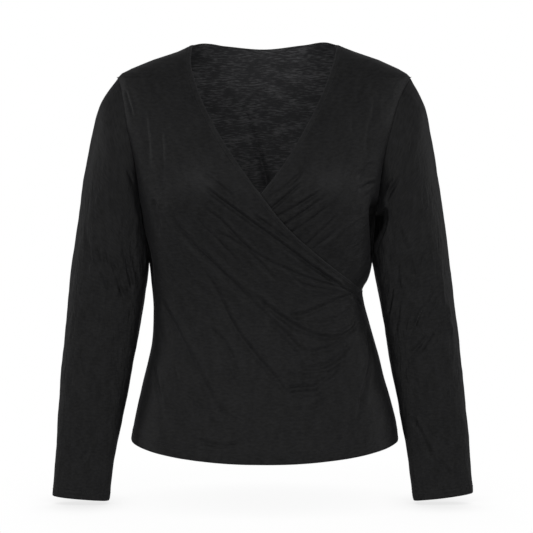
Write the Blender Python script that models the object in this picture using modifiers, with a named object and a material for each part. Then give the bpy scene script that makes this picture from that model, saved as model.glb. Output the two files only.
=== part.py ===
"""Long-sleeved wrap top in soft jersey, filled out as if worn, one cloth wall for each cut piece.

Metres, +Z up, the front faces -Y. The origin is midway between the two neck points, where the
shoulder seams meet the neck edge. Right and left are the wearer's: right is -X, left is +X.
The right front crosses over the left front and is caught in the left side seam at the waist.
"""
import math
from collections import namedtuple

import bpy
import numpy as np

# Driving sizes
CLOTH = 0.0015              # thickness of each wall
SEAM = 0.0003               # gap between two pieces where they are sewn together
SEAM_LEAN = 0.00015         # extra for each outer edge, because the wall's end leans over the seam
ARM_SEAM = 0.0009           # the sleeves start this far outside the armholes
LOOSE = 0.0034              # further gap between the two fronts, away from their seams
HEM = -0.590                # hem at the side seams
HEM_DROP = 0.0165           # how much lower the hem hangs at the centre
UNDER_HEM_LIFT = 0.004      # the covered hem of the left front ends this much higher
WAIST = -0.365              # height at which the wrap edge is caught in the side seam
UNDERARM = -0.240
TIP = -0.048                # shoulder tips, where the sleeves start
ARM_FRONT = 0.058           # how far each armhole reaches forward of the shoulder line
ARM_BACK = 0.064
ARM_PULL = 0.12             # the armhole's pull fades out over this share of the half width
ARM_PULL_DOWN = 0.06        # and reaches this far above and below the armhole
BUST = 0.014                # how far the fullness of each front stands out
BUST_ACROSS = 0.090
BUST_HEIGHT = -0.205
CURVE = 2.4                 # roundness of the body's sections, 2 is an ellipse
FOLD_RIDGE = 0.35           # height of the soft ridge beside a fold, as a share of its depth
SIDE_FADE = 0.022           # folds fade out over this distance to a seam
EDGE_FADE = 0.016           # and over this one to the wrap edge
TUCKED = 0.012              # the left front keeps its full tuck this far beyond the wrap edge
UNTUCKED = 0.055            # and has lost it all here
EDGE_LEAN = 0.65            # turns a distance across the body into one square to the wrap edge

SIGN = {"right": -1.0, "left": 1.0}

# Sections of the filled-out form. right and left are half widths, to the side seam, then the
# armhole, and above the tips the shoulder seam. front and back are depths at the middle, and
# fullness says how squarely a section keeps its depth towards its ends.
Section = namedtuple("Section", "height right left front back fullness")
BODY = [
    Section(-0.620, 0.2060, 0.2080, 0.1190, 0.1190, 0.43),
    Section(-0.590, 0.2015, 0.2020, 0.1180, 0.1180, 0.43),
    Section(-0.563, 0.1965, 0.1985, 0.1150, 0.1160, 0.43),
    Section(-0.532, 0.1895, 0.1905, 0.1120, 0.1130, 0.43),
    Section(-0.501, 0.1825, 0.1810, 0.1090, 0.1090, 0.43),
    Section(-0.471, 0.1750, 0.1738, 0.1060, 0.1050, 0.43),
    Section(-0.441, 0.1687, 0.1654, 0.1030, 0.1000, 0.43),
    Section(-0.410, 0.1667, 0.1566, 0.1010, 0.0950, 0.43),
    Section(-0.380, 0.1668, 0.1488, 0.1010, 0.0920, 0.43),
    Section(-0.365, 0.1680, 0.1470, 0.1020, 0.0910, 0.43),
    Section(-0.350, 0.1695, 0.1546, 0.1035, 0.0910, 0.43),
    Section(-0.335, 0.1712, 0.1589, 0.1055, 0.0920, 0.43),
    Section(-0.300, 0.1765, 0.1630, 0.1110, 0.0950, 0.43),
    Section(-0.265, 0.1805, 0.1655, 0.1165, 0.0980, 0.44),
    Section(-0.240, 0.1830, 0.1670, 0.1190, 0.1000, 0.47),
    Section(-0.200, 0.1860, 0.1700, 0.1190, 0.1030, 0.58),
    Section(-0.153, 0.1925, 0.1765, 0.1120, 0.1020, 0.68),
    Section(-0.120, 0.2000, 0.1850, 0.1030, 0.0970, 0.68),
    Section(-0.082, 0.2065, 0.1965, 0.0870, 0.0860, 0.60),
    Section(-0.060, 0.2120, 0.2080, 0.0740, 0.0780, 0.53),
    Section(-0.048, 0.2165, 0.2160, 0.0660, 0.0740, 0.50),
    Section(-0.042, 0.2110, 0.2105, 0.0625, 0.0720, 0.50),
    Section(-0.035, 0.1975, 0.1985, 0.0580, 0.0695, 0.50),
    Section(-0.022, 0.1650, 0.1695, 0.0490, 0.0640, 0.50),
    Section(-0.010, 0.1290, 0.1340, 0.0400, 0.0590, 0.50),
    Section(0.000, 0.1070, 0.1080, 0.0340, 0.0550, 0.50),
    Section(0.020, 0.0820, 0.0840, 0.0240, 0.0450, 0.50),
]

# Neck and wrap edges in the front view: how far across the edge lies at each height.
Edge = namedtuple("Edge", "height across")
WRAP_EDGE = [
    Edge(-0.3650, 0.1470),
    Edge(-0.3460, 0.1270),
    Edge(-0.3190, 0.0937),
    Edge(-0.2600, 0.0288),
    Edge(-0.2160, -0.0055),
    Edge(-0.1750, -0.0358),
    Edge(-0.1260, -0.0676),
    Edge(-0.0710, -0.0949),
    Edge(-0.0230, -0.1080),
    Edge(0.0000, -0.1070),
]
UNDER_EDGE = [
    Edge(-0.3650, -0.1680),
    Edge(-0.3460, -0.1380),
    Edge(-0.3190, -0.1032),
    Edge(-0.2600, -0.0378),
    Edge(-0.2160, -0.0054),
    Edge(-0.1734, 0.0272),
    Edge(-0.1228, 0.0584),
    Edge(-0.0750, 0.0828),
    Edge(-0.0280, 0.1003),
    Edge(0.0000, 0.1080),
]
BACK_NECK = [
    Edge(-0.1070, 0.0000),
    Edge(-0.0960, 0.0030),
    Edge(-0.0600, 0.0005),
    Edge(0.0000, -0.0040),
    Edge(0.0600, 0.0020),
    Edge(0.0950, 0.0045),
    Edge(0.1080, 0.0000),
]

# Sections of the sleeves below the armhole: the outer and the inner end of each section in the
# front view, half its depth, and how far it hangs forward.
Ring = namedtuple("Ring", "outer outer_height inner inner_height depth forward")
SLEEVES = {
    "right": [
        Ring(0.2435, -0.088, 0.1855, -0.262, 0.0600, 0.000),
        Ring(0.2575, -0.137, 0.1838, -0.285, 0.0560, 0.000),
        Ring(0.2680, -0.193, 0.1805, -0.308, 0.0510, 0.002),
        Ring(0.2780, -0.259, 0.1752, -0.337, 0.0460, 0.004),
        Ring(0.2880, -0.325, 0.1790, -0.370, 0.0410, 0.006),
        Ring(0.2960, -0.400, 0.1870, -0.420, 0.0360, 0.008),
        Ring(0.3035, -0.468, 0.1975, -0.478, 0.0310, 0.011),
        Ring(0.3090, -0.540, 0.2110, -0.546, 0.0260, 0.014),
        Ring(0.3140, -0.608, 0.2245, -0.612, 0.0210, 0.017),
        Ring(0.3190, -0.673, 0.2345, -0.680, 0.0165, 0.020),
    ],
    "left": [
        Ring(0.2370, -0.088, 0.1700, -0.262, 0.0600, 0.000),
        Ring(0.2490, -0.140, 0.1700, -0.285, 0.0560, 0.000),
        Ring(0.2580, -0.197, 0.1690, -0.308, 0.0510, 0.002),
        Ring(0.2690, -0.262, 0.1668, -0.337, 0.0460, 0.004),
        Ring(0.2775, -0.328, 0.1725, -0.370, 0.0410, 0.006),
        Ring(0.2860, -0.400, 0.1800, -0.420, 0.0360, 0.008),
        Ring(0.2950, -0.470, 0.1895, -0.478, 0.0310, 0.011),
        Ring(0.3025, -0.540, 0.2030, -0.546, 0.0260, 0.014),
        Ring(0.3090, -0.608, 0.2145, -0.612, 0.0210, 0.017),
        Ring(0.3135, -0.669, 0.2245, -0.680, 0.0165, 0.020),
    ],
}

# Rows along each piece's sides, from the hem up, and columns across it
FRONT_ROWS = (12, 10, 18)
FRONT_COLUMNS = 36
UNDER_ROWS = (12, 10, 14)
UNDER_COLUMNS = 20
BACK_ROWS = (13, 12)
BACK_COLUMNS = 20
SLEEVE_ROWS = 22
SLEEVE_SIDES = 20
MID_EDGE = -0.262           # height on the wrap edges where the spacing of the rows changes
SHOULDER_CROWDING = 1.7     # above 1, rows lie closer together towards the shoulder
EVEN_COLUMNS = 0.65         # share of even spacing in the columns, the rest crowds to the sides
TOP_REACH = 1.6             # how late the rows take on the shape of a panel's top line
EVENING = 4                 # rounds of evening out the columns from row to row


def along(table, knot, value, at):
    """Read a column of a table on a smooth curve through its rows."""
    knots = np.array([getattr(row, knot) for row in table])
    values = np.array([getattr(row, value) for row in table])
    slopes = np.gradient(values, knots)
    at = np.clip(np.asarray(at, float), knots[0], knots[-1])
    k = np.clip(np.searchsorted(knots, at, side="right") - 1, 0, len(knots) - 2)
    span = knots[k + 1] - knots[k]
    rise = values[k + 1] - values[k]
    t = (at - knots[k]) / span
    start = slopes[k] * span - rise
    end = rise - slopes[k + 1] * span
    return values[k] + rise * t + t * (1 - t) * (start * (1 - t) + end * t)


def smooth(low, high, value):
    """0 below low, 1 above high, with a soft step between."""
    t = np.clip((value - low) / (high - low), 0.0, 1.0)
    return t * t * (3 - 2 * t)


def half_width(side, height):
    """Half width of the form: side seam and armhole on a curve, shoulder seam on straight runs."""
    below = [row for row in BODY if row.height <= TIP]
    above = [row for row in BODY if row.height >= TIP]
    curve = along(below, "height", side, np.minimum(height, TIP))
    runs = np.interp(height, [row.height for row in above], [getattr(row, side) for row in above])
    return np.where(np.asarray(height) <= TIP, curve, runs)


def shoulder(side, across):
    """Height of the shoulder seam at a distance from the middle."""
    above = [row for row in reversed(BODY) if row.height >= TIP]
    return np.interp(across, [getattr(row, side) for row in above], [row.height for row in above])


def bust(x, z):
    """Soft fullness on each side of the front, with the cloth bridging between the two."""
    total = 0.0
    for side in (-1.0, 1.0):
        out = side * x - BUST_ACROSS
        spread = np.where(out > 0, 0.058, 0.080)
        drop = z - BUST_HEIGHT
        fall = np.where(drop > 0, 0.085, 0.075)
        total = total + BUST * np.exp(-(out / spread) ** 2 - (drop / fall) ** 2)
    return total


def seam_share(flat):
    """How far out a point of the front view lies, as a share of the way to the seam beside it."""
    x = flat[..., 0]
    z = flat[..., 1]
    ends = np.where(x < 0, half_width("right", z), half_width("left", z))
    return np.clip(np.abs(x) / ends, 0.0, 1.0)


def depth(face, x, z):
    """How far the cloth stands in front of, or behind, the plane of the side seams."""
    share = seam_share(np.stack([x, z], axis=-1))
    middle = along(BODY, "height", face, z)
    if face == "front":
        middle = middle + bust(x, z)
    kept = np.maximum(1 - share ** CURVE, 0.0) ** along(BODY, "height", "fullness", z)
    # the armhole is an ellipse at its edge, and its pull fades out into the panel
    inward = np.sqrt(np.clip((1 - share) / ARM_PULL, 0.0, 1.0))
    half = (TIP - UNDERARM) / 2
    from_middle = (z - (TIP + UNDERARM) / 2) / (half + ARM_PULL_DOWN * inward)
    open_share = np.maximum(1 - from_middle ** 2, 0.0) ** (0.5 + 1.5 * inward)
    reach = ARM_FRONT if face == "front" else ARM_BACK
    return reach * open_share * (1 - kept) + middle * kept


def on_form(face, flat):
    """Set points of the front view (x, z) out on the form."""
    x = flat[..., 0]
    z = flat[..., 1]
    y = depth(face, x, z) + SEAM / 2 + SEAM_LEAN
    return np.stack([x, -y if face == "front" else y, z], axis=-1)


def real_shares(face, flat):
    """The share of its real length at which each point of a line in the front view lies."""
    steps = np.linalg.norm(np.diff(on_form(face, flat), axis=0), axis=1)
    return np.append(0.0, np.cumsum(steps)) / steps.sum()


def walk(face, flat, shares):
    """Points at the given shares of the real length of a line drawn in the front view."""
    run = real_shares(face, flat)
    return np.column_stack([np.interp(shares, run, flat[:, k]) for k in (0, 1)])


def eased(count):
    """Steps from 0 to 1 that crowd towards both ends."""
    return (1 - np.cos(np.linspace(0, math.pi, count))) / 2


def seam_line(side, low, high):
    """The side seam or armhole between two heights, in the front view."""
    heights = low + (high - low) * eased(120)
    return np.column_stack([SIGN[side] * half_width(side, heights), heights])


def edge_line(table, low, high):
    """A neck or wrap edge between two heights, in the front view."""
    heights = low + (high - low) * eased(120)
    return np.column_stack([along(table, "height", "across", heights), heights])


def border(face, lines, rows):
    """Join lines end to end, each with its own number of rows, closer together at the shoulder."""
    points = []
    for line, count in zip(lines, rows):
        shares = np.linspace(0, 1, count + 1)
        if line is lines[-1]:
            shares = 1 - (1 - shares) ** SHOULDER_CROWDING
        points.append(walk(face, line, shares)[1 if points else 0:])
    return np.vstack(points)


def evened(places, rounds):
    """Even the places of the columns out from row to row, so that no column jumps sideways."""
    for _ in range(rounds):
        places[1:-1] = (places[:-2] + 2 * places[1:-1] + places[2:]) / 4
    return places


def panel(face, right, left, top, columns, waist_row, corners=()):
    """A grid of points on the form between two borders, from the hem to the line top(x).

    corners are pairs of a column and the x of a corner of the top line that it must meet.
    """
    steps = eased(400)
    shares = eased(columns + 1)
    shares = shares + EVEN_COLUMNS * (np.linspace(0, 1, columns + 1) - shares)
    last = len(right) - 1
    top_x = right[last, 0] + (left[last, 0] - right[last, 0]) * steps
    chord = right[last, 1] + (left[last, 1] - right[last, 1]) * steps
    rise = top(top_x) - chord
    lines = []
    places = []
    for row in range(last + 1):
        low = max(1 - row / waist_row, 0.0) ** 2
        high = max(row - waist_row, 0) / (last - waist_row)
        x = right[row, 0] + (left[row, 0] - right[row, 0]) * steps
        z = right[row, 1] + (left[row, 1] - right[row, 1]) * steps
        z = z - HEM_DROP * low * (1 - (2 * steps - 1) ** 2) + rise * high ** TOP_REACH
        flat = np.column_stack([x, z])
        run = real_shares(face, flat)
        wanted = shares
        if row == last:
            met = [np.interp(corner_x, x, run) for _, corner_x in corners]
            own = [shares[column] for column, _ in corners]
            wanted = np.interp(shares, [0.0, *own, 1.0], [0.0, *met, 1.0])
        lines.append(flat)
        places.append(np.interp(wanted, run, steps))
    places = evened(np.array(places), EVENING)
    grid = [[np.interp(place, steps, flat[:, k]) for k in (0, 1)] for place, flat in zip(places, lines)]
    return np.moveaxis(np.array(grid), 1, 2)


def normals(points, closed=False):
    """Outward unit normals of a grid whose columns run to +X and whose rows run up."""
    if closed:
        across = np.roll(points, -1, axis=1) - np.roll(points, 1, axis=1)
    else:
        across = np.gradient(points, axis=1)
    upward = np.gradient(points, axis=0)
    out = np.cross(across, upward)
    return out / np.linalg.norm(out, axis=-1, keepdims=True)


# Folds: a soft trough along a route of the front view (x, z), its width, and its depth; the
# cloth beside it rises a little. Depth fades to nothing at both ends.
Fold = namedtuple("Fold", "depth width route")
OVER_FOLDS = [
    Fold(0.0045, 0.010, ((0.102, -0.343), (0.022, -0.278), (-0.094, -0.196))),
    Fold(0.0025, 0.009, ((0.118, -0.354), (0.008, -0.311), (-0.085, -0.228))),
    Fold(0.0040, 0.012, ((0.138, -0.410), (0.062, -0.407), (-0.020, -0.318), (-0.115, -0.215))),
    Fold(0.0045, 0.012, ((0.056, -0.438), (-0.010, -0.372), (-0.088, -0.290), (-0.135, -0.214))),
    Fold(0.0035, 0.011, ((0.116, -0.380), (0.080, -0.384), (0.030, -0.393))),
    Fold(0.0035, 0.012, ((0.120, -0.455), (0.055, -0.498), (0.000, -0.455), (-0.070, -0.366))),
    Fold(0.0045, 0.013, ((-0.072, -0.525), (-0.108, -0.470), (-0.142, -0.382))),
    Fold(0.0030, 0.012, ((-0.020, -0.568), (-0.060, -0.575), (-0.105, -0.560))),
    Fold(0.0035, 0.011, ((0.146, -0.430), (0.150, -0.480), (0.130, -0.560))),
]
UNDER_FOLDS = [
    Fold(0.0030, 0.008, ((0.000, -0.228), (0.034, -0.196), (0.050, -0.165))),
    Fold(0.0040, 0.008, ((0.018, -0.262), (0.052, -0.232), (0.096, -0.203))),
    Fold(0.0035, 0.008, ((0.030, -0.276), (0.064, -0.244), (0.104, -0.214))),
    Fold(0.0030, 0.009, ((0.058, -0.306), (0.085, -0.270), (0.106, -0.240))),
]
BACK_FOLDS = [
    Fold(0.0030, 0.012, ((-0.020, -0.095), (-0.012, -0.150), (0.002, -0.235))),
    Fold(0.0035, 0.014, ((0.140, -0.372), (0.060, -0.362), (-0.040, -0.330))),
    Fold(0.0035, 0.014, ((0.135, -0.395), (0.050, -0.410), (-0.060, -0.395))),
    Fold(0.0030, 0.014, ((-0.120, -0.300), (-0.060, -0.360), (0.000, -0.372))),
    Fold(0.0030, 0.015, ((0.120, -0.430), (0.060, -0.480), (-0.010, -0.530))),
]
SLEEVE_FOLDS = {
    "right": [
        Fold(0.0025, 0.009, ((-0.236, -0.250), (-0.240, -0.310), (-0.226, -0.380))),
        Fold(0.0025, 0.009, ((-0.205, -0.270), (-0.214, -0.330), (-0.236, -0.400))),
        Fold(0.0020, 0.009, ((-0.262, -0.290), (-0.262, -0.350), (-0.250, -0.430))),
    ],
    "left": [
        Fold(0.0025, 0.009, ((0.235, -0.250), (0.236, -0.310), (0.222, -0.380))),
        Fold(0.0030, 0.009, ((0.205, -0.420), (0.232, -0.395), (0.262, -0.345))),
        Fold(0.0025, 0.009, ((0.212, -0.460), (0.240, -0.425), (0.268, -0.380))),
    ],
}


def fold_route(fold):
    """The smooth route of a fold as short straight runs, with the share of each point."""
    knots = np.linspace(0, 1, len(fold.route))
    points = [Edge(knot, x) for knot, (x, _) in zip(knots, fold.route)]
    heights = [Edge(knot, z) for knot, (_, z) in zip(knots, fold.route)]
    share = np.linspace(0, 1, 25)
    x = along(points, "height", "across", share)
    z = along(heights, "height", "across", share)
    return np.column_stack([x, z]), share


def folded(flat, folds, spread=1.0, ridge_share=FOLD_RIDGE):
    """Height of the cloth above the smooth form at points of the front view, below 0 in a fold."""
    lift = np.zeros(flat.shape[:-1])
    for fold in folds:
        route, share = fold_route(fold)
        nearest = np.full(flat.shape[:-1], 1e9)
        place = np.zeros(flat.shape[:-1])
        for start, end, share_start, share_end in zip(route[:-1], route[1:], share[:-1], share[1:]):
            run = end - start
            offset = flat - start
            t = np.clip((offset @ run) / (run @ run), 0.0, 1.0)
            gap = offset - t[..., None] * run
            distance = np.linalg.norm(gap, axis=-1)
            closer = distance < nearest
            nearest = np.where(closer, distance, nearest)
            place = np.where(closer, share_start + t * (share_end - share_start), place)
        taper = np.sin(math.pi * np.clip(place, 0.03, 0.97)) ** 0.7
        width = fold.width * spread
        trough = -np.exp(-(nearest / width) ** 2)
        ridge = np.exp(-((nearest - 2.1 * width) / width) ** 2)
        lift = lift + fold.depth * taper * (trough + ridge_share * ridge)
    return lift


def side_fade(points, right=SIDE_FADE, left=SIDE_FADE):
    """1 inside a panel, falling to 0 at its right and left borders over the given distances."""
    steps = np.linalg.norm(np.diff(points, axis=1), axis=-1)
    run = np.concatenate([np.zeros((len(points), 1)), np.cumsum(steps, axis=1)], axis=1)
    return smooth(0, right, run) * smooth(0, left, run[:, -1:] - run)


def new_material(name, colour, roughness):
    material = bpy.data.materials.new(name)
    material.use_nodes = True
    shader = material.node_tree.nodes["Principled BSDF"]
    shader.inputs["Base Color"].default_value = (*colour, 1.0)
    shader.inputs["Roughness"].default_value = roughness
    shader.inputs["Metallic"].default_value = 0.0
    material.diffuse_color = (*colour, 1.0)
    return material


def cloth_wall(name, points, colour, closed=False, outward=True):
    """A closed cloth wall whose outer face is the grid of points and which thickens inwards."""
    rows, columns = points.shape[:2]
    faces = []
    for row in range(rows - 1):
        for column in range(columns if closed else columns - 1):
            after = (column + 1) % columns
            corner = (row * columns + column, row * columns + after)
            face = (corner[0], corner[1], corner[1] + columns, corner[0] + columns)
            faces.append(face if outward else face[::-1])
    mesh = bpy.data.meshes.new(name)
    mesh.from_pydata(points.reshape(-1, 3).tolist(), [], faces)
    mesh.shade_smooth()
    mesh.materials.append(new_material(name + "_jersey", colour, 0.85))
    piece = bpy.data.objects.new(name, mesh)
    garment.objects.link(piece)
    wall = piece.modifiers.new("wall", "SOLIDIFY")
    wall.thickness = CLOTH
    wall.offset = -1.0
    return piece


def front_borders(over, hem, rows):
    """Borders of a front panel: the whole side seam and armhole, and the side that crosses over."""
    near, far, edge = ("right", "left", WRAP_EDGE) if over else ("left", "right", UNDER_EDGE)
    own = [seam_line(near, hem, WAIST), seam_line(near, WAIST, UNDERARM), seam_line(near, UNDERARM, TIP)]
    crossed = [seam_line(far, hem, WAIST), edge_line(edge, WAIST, MID_EDGE), edge_line(edge, MID_EDGE, 0.0)]
    return border("front", own, rows), border("front", crossed, rows)


def covered(flat):
    """1 where the right front lies over the left front, fading out beyond its edge."""
    x = flat[..., 0]
    z = flat[..., 1]
    beyond = (x - along(WRAP_EDGE, "height", "across", z)) * EDGE_LEAN
    beyond = np.where(z < WAIST, -1.0, beyond)
    return 1 - smooth(TUCKED, UNTUCKED, beyond)


def right_front():
    own, crossed = front_borders(True, HEM, FRONT_ROWS)
    flat = panel("front", own, crossed, lambda x: shoulder("right", -x), FRONT_COLUMNS, FRONT_ROWS[0])
    points = on_form("front", flat)
    lift = folded(flat, OVER_FOLDS) * side_fade(points, left=EDGE_FADE)
    points = points + normals(points) * lift[..., None]
    cloth_wall("right_front", points, (0.016, 0.016, 0.017))


def left_front():
    own, crossed = front_borders(False, HEM + UNDER_HEM_LIFT, UNDER_ROWS)
    flat = panel("front", crossed, own, lambda x: shoulder("left", x), UNDER_COLUMNS, UNDER_ROWS[0])
    points = on_form("front", flat)
    cover = covered(flat)
    inside = smooth(0.0, 0.1, 1 - seam_share(flat))
    lift = folded(flat, OVER_FOLDS, spread=2.0, ridge_share=0.0) * cover * side_fade(points)
    lift = lift + np.minimum(folded(flat, UNDER_FOLDS), 0.0) * side_fade(points)
    lift = lift - (CLOTH + 3 * SEAM + LOOSE * inside) * cover
    points = points + normals(points) * lift[..., None]
    points[..., 1] = np.minimum(points[..., 1], -SEAM / 2 - SEAM_LEAN)
    cloth_wall("left_front", points, (0.018, 0.018, 0.019))


def back_top(x):
    """Top line of the back: shoulder seam, neck edge, shoulder seam."""
    neck = along(BACK_NECK, "height", "across", x)
    beside = np.where(x < 0, shoulder("right", -x), shoulder("left", x))
    inside = (x > BACK_NECK[0].height) & (x < BACK_NECK[-1].height)
    return np.where(inside, neck, beside)


def back():
    borders = []
    for side in ("right", "left"):
        lines = [seam_line(side, HEM, UNDERARM), seam_line(side, UNDERARM, TIP)]
        borders.append(border("back", lines, BACK_ROWS))
    quarter = BACK_COLUMNS // 4
    corners = ((quarter, BACK_NECK[0].height), (BACK_COLUMNS - quarter, BACK_NECK[-1].height))
    flat = panel("back", borders[0], borders[1], back_top, BACK_COLUMNS, BACK_ROWS[0], corners)
    points = on_form("back", flat)
    lift = folded(flat, BACK_FOLDS) * side_fade(points)
    points = points - normals(points) * lift[..., None]
    cloth_wall("back", points, (0.017, 0.017, 0.018), outward=False)


def armhole(side, angles):
    """The armhole ring, from the shoulder tip forward, down to the underarm and up the back."""
    z = (TIP + UNDERARM) / 2 + (TIP - UNDERARM) / 2 * np.cos(angles)
    reach = np.where(np.sin(angles) > 0, ARM_FRONT, ARM_BACK)
    x = half_width(side, z) + ARM_SEAM
    return np.column_stack([x, -reach * np.sin(angles), z])


def sleeve_points(side, rows, sides):
    """Rings of a sleeve from the armhole to the cuff, on smooth curves through its sections."""
    angles = np.linspace(0, 2 * math.pi, sides, endpoint=False)
    rings = [armhole(side, angles)]
    for ring in SLEEVES[side]:
        reach = (1 + np.cos(angles)) / 2
        x = ring.inner + (ring.outer - ring.inner) * reach
        z = ring.inner_height + (ring.outer_height - ring.inner_height) * reach
        y = -ring.forward - ring.depth * np.sin(angles)
        rings.append(np.column_stack([x, y, z]))
    rings = np.array(rings)
    moved = np.linalg.norm(np.diff(rings.mean(axis=1), axis=0), axis=1)
    knots = np.append(0.0, np.cumsum(moved))
    at = np.linspace(0, knots[-1], rows + 1)
    points = np.zeros((rows + 1, sides, 3))
    for column in range(sides):
        for axis in range(3):
            table = [Edge(knot, value) for knot, value in zip(knots, rings[:, column, axis])]
            points[:, column, axis] = along(table, "height", "across", at)
    points[..., 0] *= SIGN[side]
    return points


def sleeve(side):
    points = sleeve_points(side, SLEEVE_ROWS, SLEEVE_SIDES)
    out = normals(points, closed=True)
    centre = points.mean(axis=1, keepdims=True)
    outward = np.sign(((points - centre) * out).sum(axis=-1).mean())
    out = out * outward
    forward = smooth(0.1, 0.6, -out[..., 1])
    lift = folded(points[..., [0, 2]], SLEEVE_FOLDS[side]) * forward
    points = points + out * lift[..., None]
    cloth_wall(side + "_sleeve", points, (0.017, 0.017, 0.018), closed=True, outward=outward > 0)


for old in list(bpy.data.objects):
    bpy.data.objects.remove(old, do_unlink=True)
garment = bpy.data.collections.new("wrap_top")
bpy.context.scene.collection.children.link(garment)
right_front()
left_front()
back()
sleeve("right")
sleeve("left")
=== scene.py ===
"""Looks of the long-sleeved wrap top: soft black viscose jersey, filled out as if worn.

Metres, +Z up, the front faces -Y. Right and left are the wearer's: right is -X, left is +X.
Each cut piece is a thin shell on the form of its solid, with its creases, its turned and
stitched edges, its seams and its knit. The right front lies over the left front.
"""
import math
from collections import namedtuple

import bpy
import numpy as np
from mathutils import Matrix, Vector, noise


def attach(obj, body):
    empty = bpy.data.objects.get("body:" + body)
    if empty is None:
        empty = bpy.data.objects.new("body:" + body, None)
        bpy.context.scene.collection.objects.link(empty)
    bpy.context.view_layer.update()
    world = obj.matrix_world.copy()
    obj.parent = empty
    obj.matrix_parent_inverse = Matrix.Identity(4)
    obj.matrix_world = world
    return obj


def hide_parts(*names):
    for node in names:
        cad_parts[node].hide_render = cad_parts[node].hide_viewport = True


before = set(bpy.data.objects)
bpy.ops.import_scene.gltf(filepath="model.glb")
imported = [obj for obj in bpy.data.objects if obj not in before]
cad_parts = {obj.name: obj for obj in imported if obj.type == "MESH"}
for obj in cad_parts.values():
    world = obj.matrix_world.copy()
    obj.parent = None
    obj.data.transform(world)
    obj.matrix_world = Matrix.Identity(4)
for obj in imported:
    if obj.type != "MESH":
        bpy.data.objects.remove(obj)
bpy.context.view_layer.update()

MM = 0.001

# ------------------------------------------------------------------ sizes of the form
CLOTH = 0.9 * MM            # the jersey with its nap, as drawn
SEAM = 0.0001               # how far each shell keeps from the line of its seams
LOOSE = 1.2 * MM            # gap between the two fronts, away from their seams
HEM = -0.590
HEM_DROP = 0.0165
UNDER_HEM_LIFT = 0.004
WAIST = -0.365
UNDERARM = -0.240
TIP = -0.048
ARM_FRONT = 0.058
ARM_BACK = 0.064
ARM_PULL = 0.12             # the armhole's pull fades out over this share of the half width
ARM_PULL_DOWN = 0.06
BUST = 0.014
BUST_ACROSS = 0.090
BUST_HEIGHT = -0.205
CURVE = 2.4
MID_EDGE = -0.262           # height on the wrap edges where the spacing of the rows changes
SEWN_TO = WAIST - 0.002     # a wrap edge is sewn into the side seam up to here
FREE_FROM = WAIST + 0.004   # and is a free turned edge from here
TOP_REACH = 1.6
EDGE_LEAN = 0.65            # turns a distance across the body into one square to the wrap edge
TUCKED = 0.004
UNTUCKED = 0.030

# Turned edges: how wide the turning is, and so where its stitching lies
HEM_TURNING = 18 * MM
CUFF_TURNING = 14 * MM
NECK_TURNING = 8 * MM
TURNING_RAISE = 0.35 * MM   # how much the doubled cloth stands out
STITCH_DIP = 0.45 * MM      # how deep the stitching pulls in
STITCH_DIP_WIDTH = 1.2 * MM
STITCH_INSET = 1.5 * MM     # the stitching lies this far inside the turning's raw edge
FOLD_ROUND = 1.0 * MM       # over which the folded edge rounds off
RIM_ROUND = 0.35            # how far a rim bulges, as a share of its thickness
SEAM_DIP = 0.25 * MM        # how deep the cloth rolls into a seam
SEAM_DIP_WIDTH = 1.7 * MM
SEWN_FADE = 0.018           # relief fades out over this distance to a seam
FREE_FADE = 0.012           # and over this one to a wrap edge

# Slow swells of the cloth: their height and size, and where in the noise each piece lies
Swell = namedtuple("Swell", "height size seed")
FRONT_SWELL = Swell(1.1 * MM, 0.055, 3.0)
BACK_SWELL = Swell(1.1 * MM, 0.055, 11.0)
SLEEVE_SWELLS = {"right": Swell(1.2 * MM, 0.045, 20.0), "left": Swell(1.2 * MM, 0.045, 31.0)}

# Under each arm the cloth of the body and of the sleeve is pinched flat towards its seam, between
# the heights low and high, fading out over low_fade and high_fade. The pinch starts at the share
# at_low at the one height and at_high at the other, and is full a share reach further on.
Tuck = namedtuple("Tuck", "low low_fade high high_fade at_low at_high reach keep")
BODY_TUCKS = {
    "right": Tuck(-0.312, 0.050, -0.250, 0.030, 0.945, 0.995, 0.03, 0.06),
    "left": Tuck(-0.308, 0.014, -0.243, 0.026, 0.950, 0.905, 0.03, 0.06),
}
SLEEVE_TUCKS = {
    "right": Tuck(-0.318, 0.026, -0.258, 0.020, 0.945, 0.945, 0.025, 0.08),
    "left": Tuck(-0.308, 0.020, -0.256, 0.018, 0.93, 0.79, 0.03, 0.08),
}
TUCK_BEHIND = {"right": 0.012, "left": 0.028}  # how far behind the body's the sleeve's pinched edge lies

SIGN = {"right": -1.0, "left": 1.0}

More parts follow.
